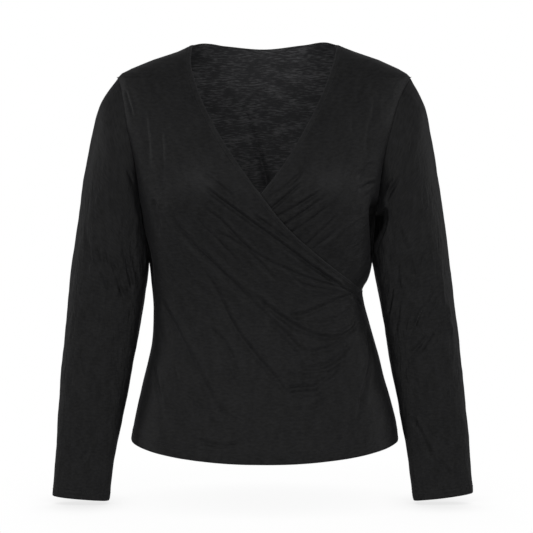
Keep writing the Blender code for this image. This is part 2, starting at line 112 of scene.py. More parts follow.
Section = namedtuple("Section", "height right left front back fullness")
BODY = [
    Section(-0.620, 0.2060, 0.2080, 0.1190, 0.1190, 0.43),
    Section(-0.590, 0.2015, 0.2020, 0.1180, 0.1180, 0.43),
    Section(-0.563, 0.1965, 0.1985, 0.1150, 0.1160, 0.43),
    Section(-0.532, 0.1895, 0.1905, 0.1120, 0.1130, 0.43),
    Section(-0.501, 0.1825, 0.1810, 0.1090, 0.1090, 0.43),
    Section(-0.471, 0.1750, 0.1738, 0.1060, 0.1050, 0.43),
    Section(-0.441, 0.1687, 0.1654, 0.1030, 0.1000, 0.43),
    Section(-0.410, 0.1667, 0.1566, 0.1010, 0.0950, 0.43),
    Section(-0.380, 0.1668, 0.1488, 0.1010, 0.0920, 0.43),
    Section(-0.365, 0.1680, 0.1470, 0.1020, 0.0910, 0.43),
    Section(-0.350, 0.1695, 0.1546, 0.1035, 0.0910, 0.43),
    Section(-0.335, 0.1712, 0.1589, 0.1055, 0.0920, 0.43),
    Section(-0.300, 0.1765, 0.1630, 0.1110, 0.0950, 0.43),
    Section(-0.265, 0.1805, 0.1655, 0.1165, 0.0980, 0.44),
    Section(-0.240, 0.1830, 0.1670, 0.1190, 0.1000, 0.47),
    Section(-0.200, 0.1860, 0.1700, 0.1190, 0.1030, 0.58),
    Section(-0.153, 0.1925, 0.1765, 0.1120, 0.1020, 0.68),
    Section(-0.120, 0.2000, 0.1850, 0.1030, 0.0970, 0.68),
    Section(-0.082, 0.2065, 0.1965, 0.0870, 0.0860, 0.60),
    Section(-0.060, 0.2120, 0.2080, 0.0740, 0.0780, 0.53),
    Section(-0.048, 0.2165, 0.2160, 0.0660, 0.0740, 0.50),
    Section(-0.042, 0.2110, 0.2105, 0.0625, 0.0720, 0.50),
    Section(-0.035, 0.1975, 0.1985, 0.0580, 0.0695, 0.50),
    Section(-0.022, 0.1650, 0.1695, 0.0490, 0.0640, 0.50),
    Section(-0.010, 0.1290, 0.1340, 0.0400, 0.0590, 0.50),
    Section(0.000, 0.1070, 0.1080, 0.0340, 0.0550, 0.50),
    Section(0.020, 0.0820, 0.0840, 0.0240, 0.0450, 0.50),
]

Edge = namedtuple("Edge", "height across")
WRAP_EDGE = [
    Edge(-0.3650, 0.1470),
    Edge(-0.3460, 0.1270),
    Edge(-0.3190, 0.0937),
    Edge(-0.2600, 0.0288),
    Edge(-0.2160, -0.0055),
    Edge(-0.1750, -0.0358),
    Edge(-0.1260, -0.0676),
    Edge(-0.0710, -0.0949),
    Edge(-0.0230, -0.1080),
    Edge(0.0000, -0.1070),
]
UNDER_EDGE = [
    Edge(-0.3650, -0.1680),
    Edge(-0.3460, -0.1380),
    Edge(-0.3190, -0.1032),
    Edge(-0.2600, -0.0378),
    Edge(-0.2160, -0.0054),
    Edge(-0.1734, 0.0272),
    Edge(-0.1228, 0.0584),
    Edge(-0.0750, 0.0828),
    Edge(-0.0280, 0.1003),
    Edge(0.0000, 0.1080),
]
BACK_NECK = [
    Edge(-0.1070, 0.0000),
    Edge(-0.0960, 0.0030),
    Edge(-0.0600, 0.0005),
    Edge(0.0000, -0.0040),
    Edge(0.0600, 0.0020),
    Edge(0.0950, 0.0045),
    Edge(0.1080, 0.0000),
]

Ring = namedtuple("Ring", "outer outer_height inner inner_height depth forward")
SLEEVES = {
    "right": [
        Ring(0.2435, -0.088, 0.1788, -0.262, 0.0600, 0.000),
        Ring(0.2575, -0.137, 0.1764, -0.285, 0.0560, 0.000),
        Ring(0.2680, -0.193, 0.1738, -0.308, 0.0510, 0.002),
        Ring(0.2780, -0.259, 0.1740, -0.337, 0.0460, 0.004),
        Ring(0.2880, -0.325, 0.1790, -0.370, 0.0410, 0.006),
        Ring(0.2960, -0.400, 0.1870, -0.420, 0.0360, 0.008),
        Ring(0.3035, -0.468, 0.1975, -0.478, 0.0310, 0.011),
        Ring(0.3090, -0.540, 0.2110, -0.546, 0.0260, 0.014),
        Ring(0.3140, -0.608, 0.2245, -0.612, 0.0210, 0.017),
        Ring(0.3190, -0.673, 0.2345, -0.680, 0.0165, 0.020),
    ],
    "left": [
        Ring(0.2370, -0.088, 0.1636, -0.262, 0.0600, 0.000),
        Ring(0.2490, -0.140, 0.1622, -0.285, 0.0560, 0.000),
        Ring(0.2580, -0.197, 0.1606, -0.308, 0.0510, 0.002),
        Ring(0.2690, -0.262, 0.1650, -0.337, 0.0460, 0.004),
        Ring(0.2775, -0.328, 0.1712, -0.370, 0.0410, 0.006),
        Ring(0.2860, -0.400, 0.1800, -0.420, 0.0360, 0.008),
        Ring(0.2950, -0.470, 0.1895, -0.478, 0.0310, 0.011),
        Ring(0.3025, -0.540, 0.2030, -0.546, 0.0260, 0.014),
        Ring(0.3090, -0.608, 0.2145, -0.612, 0.0210, 0.017),
        Ring(0.3135, -0.669, 0.2245, -0.680, 0.0165, 0.020),
    ],
}

# ------------------------------------------------------------------ creases
# A row of these tables holds depth and width in millimetres, the ridge as a share of the depth, the
# shares start and end of its length over which the crease fades in and out, and then the points x,z
# of its route in millimetres. Its ridge is on the left of its route.
Crease = namedtuple("Crease", "depth width ridge start end route")


def crease_table(table):
    """Read creases from a table with one in each row, leaving out its comments."""
    creases = []
    for row in table.splitlines():
        if row.strip() and not row.strip().startswith("#"):
            shape = [float(number) for number in row.split()[:5]]
            route = [[int(number) / 1000 for number in point.split(",")] for point in row.split()[5:]]
            creases.append(Crease(*shape, route))
    return creases


OVER_CREASES = crease_table("""
    # from under the bust to the waist seam, along the wrap edge
     3.4  5.5 0.6 0.25 0.05  -92,-200 -61,-224 19,-283 72,-323 115,-353
     1.5  4.5 0.6 0.35 0.35  -92,-183 -72,-196 -40,-222
     1.5  4.0 0.5 0.30 0.30  -22,-240 10,-263 42,-288
     2.0  4.5 0.4 0.25 0.05  -93,-229 -61,-254 -15,-299 57,-335 124,-357
     1.4  4.0 0.5 0.35 0.25  37,-334 60,-348 104,-358
     1.9  5.0 0.5 0.30 0.30  -79,-265 -45,-282 -12,-308 24,-349
     1.5  5.0 0.4 0.30 0.35  -110,-238 -81,-267 -45,-305 -16,-337
    # across the stomach
     3.4  8.0 0.5 0.25 0.10  -135,-235 -112,-280 -29,-360 30,-418 58,-450
     4.0  7.0 0.7 0.30 0.06  -28,-350 -3,-372 24,-394 58,-414 87,-424 110,-424 127,-417 138,-405
     4.4  7.5 0.5 0.20 0.08  31,-392 55,-391 80,-382 105,-372 131,-365
     3.0  9.0 0.3 0.35 0.20  50,-399 80,-404 111,-395 134,-378
     3.2  8.0 0.3 0.30 0.35  52,-437 70,-445 94,-440 117,-427 131,-414
     2.0  4.0 0.6 0.20 0.20  108,-352 130,-364 146,-388
     2.5  6.0 0.5 0.25 0.16  -95,-311 -70,-354 -37,-418 19,-486 28,-503
    # down the right side
     1.9  6.0 0.6 0.30 0.40  -161,-223 -156,-246 -150,-290
     4.4  9.0 0.5 0.25 0.18  -156,-365 -130,-415 -95,-477 -70,-521
     1.5  8.0 0.4 0.30 0.50  -83,-505 -66,-527 -36,-546
     1.3  5.0 0.3 0.30 0.40  -145,-398 -138,-425 -140,-445
     1.6  5.0 0.4 0.30 0.40  -79,-410 -62,-426 -30,-471
     1.2  4.5 0.3 0.30 0.40  -57,-462 -45,-482 -28,-507
     2.8  6.0 0.4 0.30 0.35  -165,-466 -161,-491 -147,-540
     1.6  6.0 0.4 0.30 0.40  -135,-461 -126,-487 -104,-523
     1.4  5.5 0.4 0.30 0.35  -115,-562 -87,-575 -51,-579 -15,-569
    # curves that hang from the waist seam
     3.0  6.5 0.5 0.20 0.25  130,-428 121,-442 101,-459 80,-468 62,-468 50,-461
     1.9  6.0 0.4 0.25 0.30  113,-465 94,-474 68,-478 38,-478
     1.0  4.5 0.4 0.30 0.40  77,-458 64,-459 55,-458
     3.0  6.5 0.5 0.15 0.20  120,-459 102,-475 80,-490 71,-497 51,-497 37,-500 27,-509
     1.4  5.0 0.5 0.25 0.30  108,-506 88,-515 74,-522 57,-528 31,-529
     1.0  5.0 0.4 0.30 0.35  51,-479 42,-478 32,-478
     0.9  5.0 0.4 0.35 0.35  24,-541 15,-541 5,-542
     1.4  5.0 0.4 0.30 0.30  -55,-433 -43,-459 -35,-485
     3.2  6.0 0.6 0.30 0.15  132,-549 146,-504 157,-461 151,-412
    # the chest, beside the armhole
     1.6  4.0 0.5 0.20 0.40  -203,-66 -198,-83 -189,-108
     1.4  7.0 0.4 0.35 0.40  -175,-92 -168,-134 -165,-185
     0.9  6.0 0.4 0.35 0.40  -150,-110 -146,-150 -143,-200
""")
UNDER_CREASES = crease_table("""
     1.4  4.5 0.4 0.20 0.35  2,-223 27,-207 53,-183 65,-156
     2.6  4.5 0.6 0.10 0.40  6,-240 35,-215 58,-195
     2.0  4.5 0.5 0.10 0.40  16,-250 63,-222 86,-206
     3.0  5.0 0.6 0.10 0.40  24,-264 56,-241 100,-208
     2.0  4.5 0.5 0.10 0.40  36,-274 63,-255 110,-217
     2.1  5.0 0.5 0.10 0.35  56,-294 87,-263 110,-240
     1.7  4.5 0.5 0.10 0.35  66,-299 89,-280 115,-261
    -1.4  8.0 0.0 0.30 0.35  76,-301 106,-275 136,-246
     1.3  5.0 0.5 0.30 0.30  132,-196 146,-180 160,-170
     1.6  5.0 0.5 0.30 0.30  134,-212 149,-204 164,-200
     1.0  7.0 0.4 0.35 0.40  158,-92 150,-130 147,-170
     1.3  7.0 0.4 0.35 0.35  138,-59 136,-75 134,-92
     1.6  7.0 0.5 0.30 0.35  163,-65 159,-99 160,-122
     1.3  7.5 0.4 0.35 0.35  129,-99 128,-119 127,-142
     1.1  7.0 0.4 0.35 0.35  102,-74 101,-92 99,-114
""")
BACK_CREASES = crease_table("""
    -4.2  9.5 0.0 0.25 0.12  -34,-80 -25,-110 -12,-150 2,-197 8,-228
    # drawn to the waist seam
     2.6  8.0 0.5 0.35 0.10  -45,-322 30,-352 138,-368
     2.2  7.5 0.5 0.35 0.12  -60,-392 40,-412 136,-388
     1.6  6.5 0.4 0.30 0.20  30,-318 85,-338 138,-358
     2.3  8.5 0.5 0.35 0.15  -10,-530 60,-482 138,-412
     1.6  7.5 0.4 0.35 0.30  50,-545 100,-505 150,-455
    # from the right side
     2.1  8.0 0.5 0.25 0.40  -160,-320 -100,-365 -10,-380
     2.0  7.5 0.5 0.20 0.40  -158,-352 -100,-402 -40,-428
     1.7  8.0 0.4 0.30 0.35  -160,-470 -110,-520 -60,-552
    # from the underarms and over the shoulder blades
     1.9  7.0 0.5 0.40 0.15  50,-312 105,-290 152,-250
     1.9  7.0 0.5 0.15 0.40  -160,-248 -112,-286 -60,-304
     1.5  8.0 0.4 0.30 0.40  168,-130 140,-185 122,-240
     1.5  8.0 0.4 0.40 0.30  -128,-245 -144,-190 -174,-130
     1.0  9.0 0.4 0.40 0.40  -80,-110 -92,-170 -86,-230
""")
SLEEVE_CREASES = {
    ("right", "front"): crease_table("""
     3.2  4.5 0.6 0.30 0.30  -209,-290 -200,-329 -193,-368
     2.8  4.2 0.6 0.25 0.35  -224,-318 -216,-342 -205,-378
     2.1  4.0 0.5 0.30 0.30  -220,-346 -208,-366 -200,-389
     2.7  3.8 0.6 0.30 0.30  -258,-290 -256,-310 -254,-327
     2.6  3.8 0.6 0.30 0.30  -246,-296 -244,-310 -240,-325
     3.1  3.8 0.6 0.30 0.30  -235,-298 -233,-314 -231,-328
     2.9  3.8 0.6 0.30 0.30  -243,-333 -239,-344 -237,-360
     1.7  4.0 0.5 0.30 0.30  -269,-388 -267,-404 -265,-418
     1.8  3.8 0.5 0.30 0.30  -245,-390 -244,-402 -242,-414
     1.7  4.5 0.5 0.20 0.40  -200,-181 -195,-193 -191,-204
     1.7  6.0 0.4 0.35 0.35  -263,-250 -260,-305 -262,-350
     1.5  6.0 0.4 0.35 0.35  -252,-350 -248,-380 -250,-416
     1.3  6.0 0.4 0.35 0.35  -224,-190 -222,-235 -214,-275
     1.3  7.0 0.3 0.40 0.40  -276,-430 -270,-480 -262,-520
     1.1  7.0 0.3 0.40 0.40  -250,-560 -262,-600 -280,-630
    """),
    ("left", "front"): crease_table("""
     2.8  4.2 0.6 0.30 0.30  211,-304 218,-327 222,-345
     2.0  4.0 0.6 0.30 0.30  234,-304 232,-318 230,-329
     2.5  4.5 0.5 0.30 0.30  196,-312 198,-343 201,-366
     3.1  4.5 0.6 0.25 0.30  190,-356 187,-379 182,-406
     2.5  4.5 0.6 0.30 0.30  222,-374 214,-395 206,-425
     3.1  4.2 0.7 0.25 0.30  240,-379 231,-393 222,-414 212,-433
     2.2  4.0 0.6 0.30 0.30  254,-354 246,-375 240,-389
    -2.0  4.0 0.0 0.30 0.30  261,-308 263,-356 267,-386
    -1.7  4.0 0.0 0.30 0.30  269,-394 274,-410 279,-425
     1.5  3.5 0.5 0.30 0.30  235,-341 236,-350 237,-359
     2.2  4.5 0.6 0.25 0.20  177,-232 186,-211 200,-190
     2.2  4.5 0.6 0.30 0.30  230,-462 243,-440 255,-420
     2.0  5.0 0.6 0.30 0.30  195,-264 204,-285 211,-304
     2.1  5.5 0.5 0.30 0.30  216,-548 235,-578 251,-618
     1.3  5.0 0.5 0.35 0.35  258,-612 283,-643
     1.4  6.0 0.4 0.35 0.35  222,-120 212,-160 205,-195
     2.4  4.5 0.6 0.30 0.30  245,-424 229,-443 212,-463
     1.6  4.0 0.5 0.30 0.30  258,-372 248,-382 239,-392
     1.8  4.5 0.5 0.30 0.30  202,-373 198,-401 194,-429
    -1.4  4.0 0.0 0.30 0.30  271,-374 276,-405 281,-438
    """),
    ("right", "back"): crease_table("""
     1.8  5.5 0.5 0.25 0.35  -200,-255 -214,-300 -232,-330
     1.9  5.5 0.6 0.25 0.35  -192,-345 -216,-366 -250,-372
     1.6  5.0 0.5 0.25 0.35  -198,-392 -222,-404 -252,-402
     1.3  6.0 0.4 0.35 0.35  -258,-220 -256,-275 -262,-325
     1.1  6.0 0.4 0.35 0.35  -230,-450 -246,-500 -266,-540
    """),
    ("left", "back"): crease_table("""
     1.8  5.5 0.5 0.35 0.25  222,-328 204,-296 190,-252
     1.9  5.5 0.6 0.35 0.25  240,-366 208,-362 184,-340
     1.6  5.0 0.5 0.35 0.25  244,-400 214,-402 190,-388
     1.3  6.0 0.4 0.35 0.35  250,-325 245,-270 248,-220
     1.1  6.0 0.4 0.35 0.35  258,-545 238,-500 222,-450
    """),
}
CINCH = (0.147, -0.380)     # where the creases of the front and back are drawn together
CINCH_REACH = 0.16          # creases grow to their full width over this distance from it
SHARPNESS = 0.55            # what the widths of the troughs are multiplied by
DEEPNESS = 1.05
DEEPEST = 3.4 * MM          # where creases cross, the cloth goes no deeper than this

# Fineness of the shells: rows up each run of a piece's sides, and columns across it
FRONT_ROWS = (20, 82, 70, 148)
FRONT_COLUMNS = 240
UNDER_COLUMNS = 160
BACK_ROWS = (18, 112, 82)
BACK_COLUMNS = 216
SLEEVE_ROWS = 260
SLEEVE_SIDES = 140
HEM_RUN = 0.028             # the first rows keep to the hem's turning
SIDE_ZONE = 0.014           # columns lie closer together over this distance from the sides
SIDE_DENSITY = 1.8
PANEL_WIDTH = 0.42          # about how wide a panel is, for the spacing of its columns
LINE_STEPS = 900            # points on each row of a panel, before its columns are placed
SLEEVE_ZONE = 0.022         # rings lie closer together over this distance from a sleeve's ends
EVENING = 17                # rows over which the columns are evened out

# ------------------------------------------------------------------ the form


def along(table, knot, value, at):
    """Read a column of a table on a smooth curve through its rows."""
    knots = np.array([getattr(row, knot) for row in table])
    values = np.array([getattr(row, value) for row in table])
    return curve(knots, values, at)


def curve(knots, values, at):
    """A smooth curve through values at rising knots. values may have further axes."""
    slopes = np.gradient(values, knots, axis=0)
    at = np.clip(np.asarray(at, float), knots[0], knots[-1])
    k = np.clip(np.searchsorted(knots, at, side="right") - 1, 0, len(knots) - 2)
    extra = (1,) * (values.ndim - 1)
    span = (knots[k + 1] - knots[k]).reshape(at.shape + extra)
    t = (at - knots[k]).reshape(at.shape + extra) / span
    rise = values[k + 1] - values[k]
    start = slopes[k] * span - rise
    end = rise - slopes[k + 1] * span
    return values[k] + rise * t + t * (1 - t) * (start * (1 - t) + end * t)


def smooth(low, high, value):
    """0 below low, 1 above high, with a soft step between."""
    t = np.clip((value - low) / (high - low), 0.0, 1.0)
    return t * t * (3 - 2 * t)


def half_width(side, height):
    """Half width of the form: side seam and armhole on a curve, shoulder seam on straight runs."""
    below = [row for row in BODY if row.height <= TIP]
    above = [row for row in BODY if row.height >= TIP]
    curved = along(below, "height", side, np.minimum(height, TIP))
    runs = np.interp(height, [row.height for row in above], [getattr(row, side) for row in above])
    return np.where(np.asarray(height) <= TIP, curved, runs)


def shoulder(side, across):
    """Height of the shoulder seam at a distance from the middle."""
    above = [row for row in reversed(BODY) if row.height >= TIP]
    return np.interp(across, [getattr(row, side) for row in above], [row.height for row in above])


def bust(x, z):
    """Soft fullness on each side of the front, with the cloth bridging between the two."""
    total = 0.0
    for side in (-1.0, 1.0):
        out = side * x - BUST_ACROSS
        spread = np.where(out > 0, 0.058, 0.080)
        drop = z - BUST_HEIGHT
        fall = np.where(drop > 0, 0.085, 0.075)
        total = total + BUST * np.exp(-(out / spread) ** 2 - (drop / fall) ** 2)
    return total


def seam_share(flat):
    """How far out a point of the front view lies, as a share of the way to the seam beside it."""
    x = flat[..., 0]
    z = flat[..., 1]
    ends = np.where(x < 0, half_width("right", z), half_width("left", z))
    return np.clip(np.abs(x) / ends, 0.0, 1.0)


def tucked(tuck, height, share):
    """What a tuck takes from the cloth's depth, at a height and at a share of the way to its seam."""
    inside = smooth(tuck.low - tuck.low_fade, tuck.low, height)
    inside = inside * (1 - smooth(tuck.high, tuck.high + tuck.high_fade, height))
    start = tuck.at_low + (tuck.at_high - tuck.at_low) * smooth(tuck.low, tuck.high, height)
    return inside * smooth(start, start + tuck.reach, share)


def depth(face, x, z):
    """How far the cloth stands in front of, or behind, the plane of the side seams."""
    share = seam_share(np.stack([x, z], axis=-1))
    middle = along(BODY, "height", face, z)
    if face == "front":
        middle = middle + bust(x, z)
    kept = np.maximum(1 - share ** CURVE, 0.0) ** along(BODY, "height", "fullness", z)
    for side, tuck in BODY_TUCKS.items():
        pinch = (1 - tuck.keep) * tucked(tuck, z, share)
        kept = kept * np.where(SIGN[side] * x > 0, 1 - pinch, 1.0)
    inward = np.sqrt(np.clip((1 - share) / ARM_PULL, 0.0, 1.0))
    half = (TIP - UNDERARM) / 2
    from_middle = (z - (TIP + UNDERARM) / 2) / (half + ARM_PULL_DOWN * inward)
    open_share = np.maximum(1 - from_middle ** 2, 0.0) ** (0.5 + 1.5 * inward)
    reach = ARM_FRONT if face == "front" else ARM_BACK
    return reach * open_share * (1 - kept) + middle * kept


def on_form(face, flat):
    """Set points of the front view (x, z) out on the form. The top row of a grid keeps to the
    plane of the shoulder seam."""
    x = flat[..., 0]
    z = flat[..., 1]
    y = depth(face, x, z)
    if flat.ndim == 3:
        y[-1] = np.where(seam_share(flat[-1]) > 0.999, 0.0, y[-1])
    y = y + SEAM
    return np.stack([x, -y if face == "front" else y, z], axis=-1)


def real_shares(face, flat):
    """The share of its real length at which each point of a line in the front view lies."""
    steps = np.linalg.norm(np.diff(on_form(face, flat), axis=0), axis=1)
    return np.append(0.0, np.cumsum(steps)) / steps.sum()


def eased(count):
    """Steps from 0 to 1 that crowd towards both ends."""
    return (1 - np.cos(np.linspace(0, math.pi, count))) / 2


def crowded(count, length, density, zone):
    """Steps from 0 to 1 on a line of that length, density times closer over a zone at its ends."""
    fine = np.linspace(0, 1, 4001)
    near_end = np.minimum(fine, 1 - fine) * length
    weight = 1 + density * np.exp(-(near_end / zone) ** 2)
    total = np.append(0.0, np.cumsum((weight[1:] + weight[:-1]) / 2))
    return np.interp(np.linspace(0, 1, count), total / total[-1], fine)


def seam_line(side, low, high):
    """The side seam or armhole between two heights, in the front view."""
    heights = low + (high - low) * eased(400)
    return np.column_stack([SIGN[side] * half_width(side, heights), heights])


def edge_line(table, low, high):
    """A neck or wrap edge between two heights, in the front view."""
    heights = low + (high - low) * eased(400)
    return np.column_stack([along(table, "height", "across", heights), heights])


def border(face, lines, rows):
    """Join lines end to end, each with its own number of rows, even along its real length."""
    points = []
    for line, count in zip(lines, rows):
        run = real_shares(face, line)
        shares = np.linspace(0, 1, count + 1)[1 if points else 0:]
        points.append(np.column_stack([np.interp(shares, run, line[:, k]) for k in (0, 1)]))
    return np.vstack(points)


def evened(places, reach):
    """Even the places of the columns out over neighbouring rows, so that none jumps sideways."""
    rows = np.arange(len(places))
    weights = np.exp(-((rows[:, None] - rows[None, :]) / reach) ** 2)
    from_end = np.minimum(rows, rows[::-1])
    own = smooth(0, 2 * reach, from_end)[:, None]
    weights = own * weights / weights.sum(axis=1, keepdims=True) + (1 - own) * np.eye(len(places))
    return weights @ places


def panel(face, right, left, top, columns, waist_row, corners=()):
    """A grid of points of the front view between two borders, from the hem to the line top(x).

    corners are pairs of a column and the x of a corner of the top line that it must meet.
    """
    steps = eased(LINE_STEPS)
    shares = crowded(columns + 1, PANEL_WIDTH, SIDE_DENSITY, SIDE_ZONE)
    last = len(right) - 1
    top_x = right[last, 0] + (left[last, 0] - right[last, 0]) * steps
    chord = right[last, 1] + (left[last, 1] - right[last, 1]) * steps
    rise = top(top_x) - chord
    lines = []
    places = []
    for row in range(last + 1):
        lift = max(right[row, 1] - right[0, 1], 0.0) / (right[waist_row, 1] - right[0, 1])
        low = max(1 - lift, 0.0) ** 2
        high = max(row - waist_row, 0) / (last - waist_row)
        x = right[row, 0] + (left[row, 0] - right[row, 0]) * steps
        z = right[row, 1] + (left[row, 1] - right[row, 1]) * steps
        z = z - HEM_DROP * low * (1 - (2 * steps - 1) ** 2) + rise * high ** TOP_REACH
        flat = np.column_stack([x, z])
        lines.append(flat)
        places.append(np.interp(shares, real_shares(face, flat), steps))
    places = evened(np.array(places), EVENING)
    own = [places[-2, column] for column, _ in corners]
    met = [np.interp(corner_x, top_x, steps) for _, corner_x in corners]
    places[-1] = np.interp(places[-2], [0.0, *own, 1.0], [0.0, *met, 1.0])
    grid = [[np.interp(place, steps, flat[:, k]) for k in (0, 1)] for place, flat in zip(places, lines)]
    return np.moveaxis(np.array(grid), 1, 2)


def beside(values, closed):
    """The values of a grid at each of the 25 points around every point, itself among them."""
    padded = np.pad(values, ((2, 2), (2, 2), (0, 0)), mode="edge")
    if closed:
        padded[2:-2, :2] = values[:, -2:]
        padded[2:-2, -2:] = values[:, :2]
    rows, columns = values.shape[:2]
    return [padded[row:row + rows, column:column + columns] for row in range(5) for column in range(5)]


def normals(points, closed=False):
    """Unit normals of a grid, out of the front for columns that run to +X and rows that run up.

    Each is taken over the points around, so that the narrow cells in a corner keep a true one."""
    if closed:
        across = np.roll(points, -1, axis=1) - np.roll(points, 1, axis=1)
    else:
        across = np.gradient(points, axis=1)
    out = sum(beside(np.cross(across, np.gradient(points, axis=0)), closed))
    return out / np.maximum(np.linalg.norm(out, axis=-1, keepdims=True), 1e-12)


def reaches(points):
    """Distance over the cloth of each point from the grid's right, left, low and high border."""
    across = np.linalg.norm(np.diff(points, axis=1), axis=-1)
    across = np.concatenate([np.zeros((len(points), 1)), np.cumsum(across, axis=1)], axis=1)
    upward = np.linalg.norm(np.diff(points, axis=0), axis=-1)
    upward = np.concatenate([np.zeros((1, points.shape[1])), np.cumsum(upward, axis=0)], axis=0)
    return {"right": across, "left": across[:, -1:] - across, "low": upward, "high": upward[-1:] - upward}


# ------------------------------------------------------------------ relief of the cloth


def creased(flat, creases):
    """Height of the cloth above the smooth form at points of the front view, below 0 in a crease."""
    lift = np.zeros(flat.shape[:-1])
    for crease in creases:
        route = np.array(crease.route)
        if len(route) == 2:
            route = np.array([route[0], route.mean(axis=0), route[1]])
        share = np.linspace(0, 1, 22)
        line = curve(np.linspace(0, 1, len(route)), route, share)
        near = reachable(flat, line, 5 * crease.width * MM)
        spots = flat[near]
        closest = np.full(len(spots), 1e9)
        side = np.zeros(len(spots))
        place = np.zeros(len(spots))
        for k in range(len(line) - 1):
            run = line[k + 1] - line[k]
            offset = spots - line[k]
            t = np.clip(offset @ run / (run @ run), 0.0, 1.0)
            gap = offset - t[:, None] * run
            distance = np.linalg.norm(gap, axis=1)
            closer = distance < closest
            turn = run[0] * gap[:, 1] - run[1] * gap[:, 0]
            side = np.where(closer, np.sign(turn), side)
            place = np.where(closer, share[k] + t * (share[k + 1] - share[k]), place)
            closest = np.where(closer, distance, closest)
        drawn_in = np.hypot(spots[:, 0] - CINCH[0], spots[:, 1] - CINCH[1])
        gathered = 0.62 + 0.43 * smooth(0.0, CINCH_REACH, drawn_in)
        width = SHARPNESS * crease.width * MM * gathered
        s = side * closest / width
        # the ridge on one side, the trough, a lower swell on the other side, and a wide hollow
        shape = crease.ridge * np.exp(-((s - 1.7) / 1.2) ** 2) - np.exp(-((s + 0.1) / 0.85) ** 2)
        shape = shape + 0.4 * crease.ridge * np.exp(-((s + 2.4) / 1.4) ** 2)
        shape = DEEPNESS * gathered * shape - 0.22 * np.exp(-(s / 4.5) ** 2)
        fade = smooth(0, crease.start, place) * smooth(0, crease.end, 1 - place)
        fade = fade * (1 + 0.25 * np.sin(11 * place + 900 * route[0, 0]))
        past = np.where((place <= 0) | (place >= 1), np.exp(-(closest / width) ** 2), 1.0)
        lift[near] += crease.depth * MM * fade * past * shape
    return np.where(lift < 0, DEEPEST * np.tanh(lift / DEEPEST), lift)


def reachable(flat, line, reach):
    """Which points lie in the box around a line, grown by reach."""
    low = line.min(axis=0) - reach
    high = line.max(axis=0) + reach
    return np.all((flat > low) & (flat < high), axis=-1)


def unevenness(points, swell):
    """Slow swells of the cloth, with lower ones among them."""
    places = [Vector(place) for place in (points.reshape(-1, 3) / swell.size + swell.seed).tolist()]
    values = [noise.noise(place) + 0.38 * noise.noise(place * 2.9) for place in places]
    return swell.height * np.array(values).reshape(points.shape[:-1])


def turned_edge(reach, turning):
    """Relief of an edge that is turned in and stitched, at a distance from it."""
    raised = TURNING_RAISE * (1 - smooth(turning, turning + 2 * MM, reach))
    dip = -STITCH_DIP * np.exp(-((reach - turning + STITCH_INSET) / STITCH_DIP_WIDTH) ** 2)
    rounded = -0.5 * CLOTH * np.exp(-(reach / FOLD_ROUND) ** 2)
    return raised + dip + rounded


def seam_roll(reach):
    """Relief of the cloth beside a seam, where it rolls in."""
    return -SEAM_DIP * np.exp(-(reach / SEAM_DIP_WIDTH) ** 2)


def doubled(reach, turning):
    """Thickness that a turned edge adds, at a distance from it."""
    return CLOTH * (1 - smooth(turning, turning + 1 * MM, reach))


# ------------------------------------------------------------------ meshes


def placed(name, data):
    """A new object, in the scene."""
    thing = bpy.data.objects.new(name, data)
    bpy.context.scene.collection.objects.link(thing)
    return thing


def grid_faces(index, uv_index):
    """Quads of a grid of points, and the same quads in the numbering of its UVs."""
    quads = []
    for numbers in (index, uv_index):
        corners = (numbers[:-1, :-1], numbers[:-1, 1:], numbers[1:, 1:], numbers[1:, :-1])
        quads.append(np.stack(corners, axis=-1).reshape(-1, 4))
    return quads


def loop_cells(rows, columns):
    """The cells along the border of a grid, in order, back to the first."""
    loop = [(0, c) for c in range(columns)] + [(r, columns - 1) for r in range(1, rows)]
    loop += [(rows - 1, c) for c in range(columns - 2, -1, -1)] + [(r, 0) for r in range(rows - 2, -1, -1)]
    return np.array(loop)


def hollow(cloth, closed):
    """How far the points beside each point lie below it, so that a coarser grid can clear them.
    It is little beside a border, where the pieces meet."""
    deepest = np.zeros(cloth.points.shape[:2])
    for other in beside(cloth.points, closed):
        deepest = np.maximum(deepest, ((cloth.points - other) * cloth.out).sum(axis=-1))
    borders = ("low", "high") if closed else ("right", "left", "low", "high")
    from_border = np.min([cloth.reach[border] for border in borders], axis=0)
    return np.minimum(deepest, np.minimum(1.6 * MM, 0.4 * from_border))


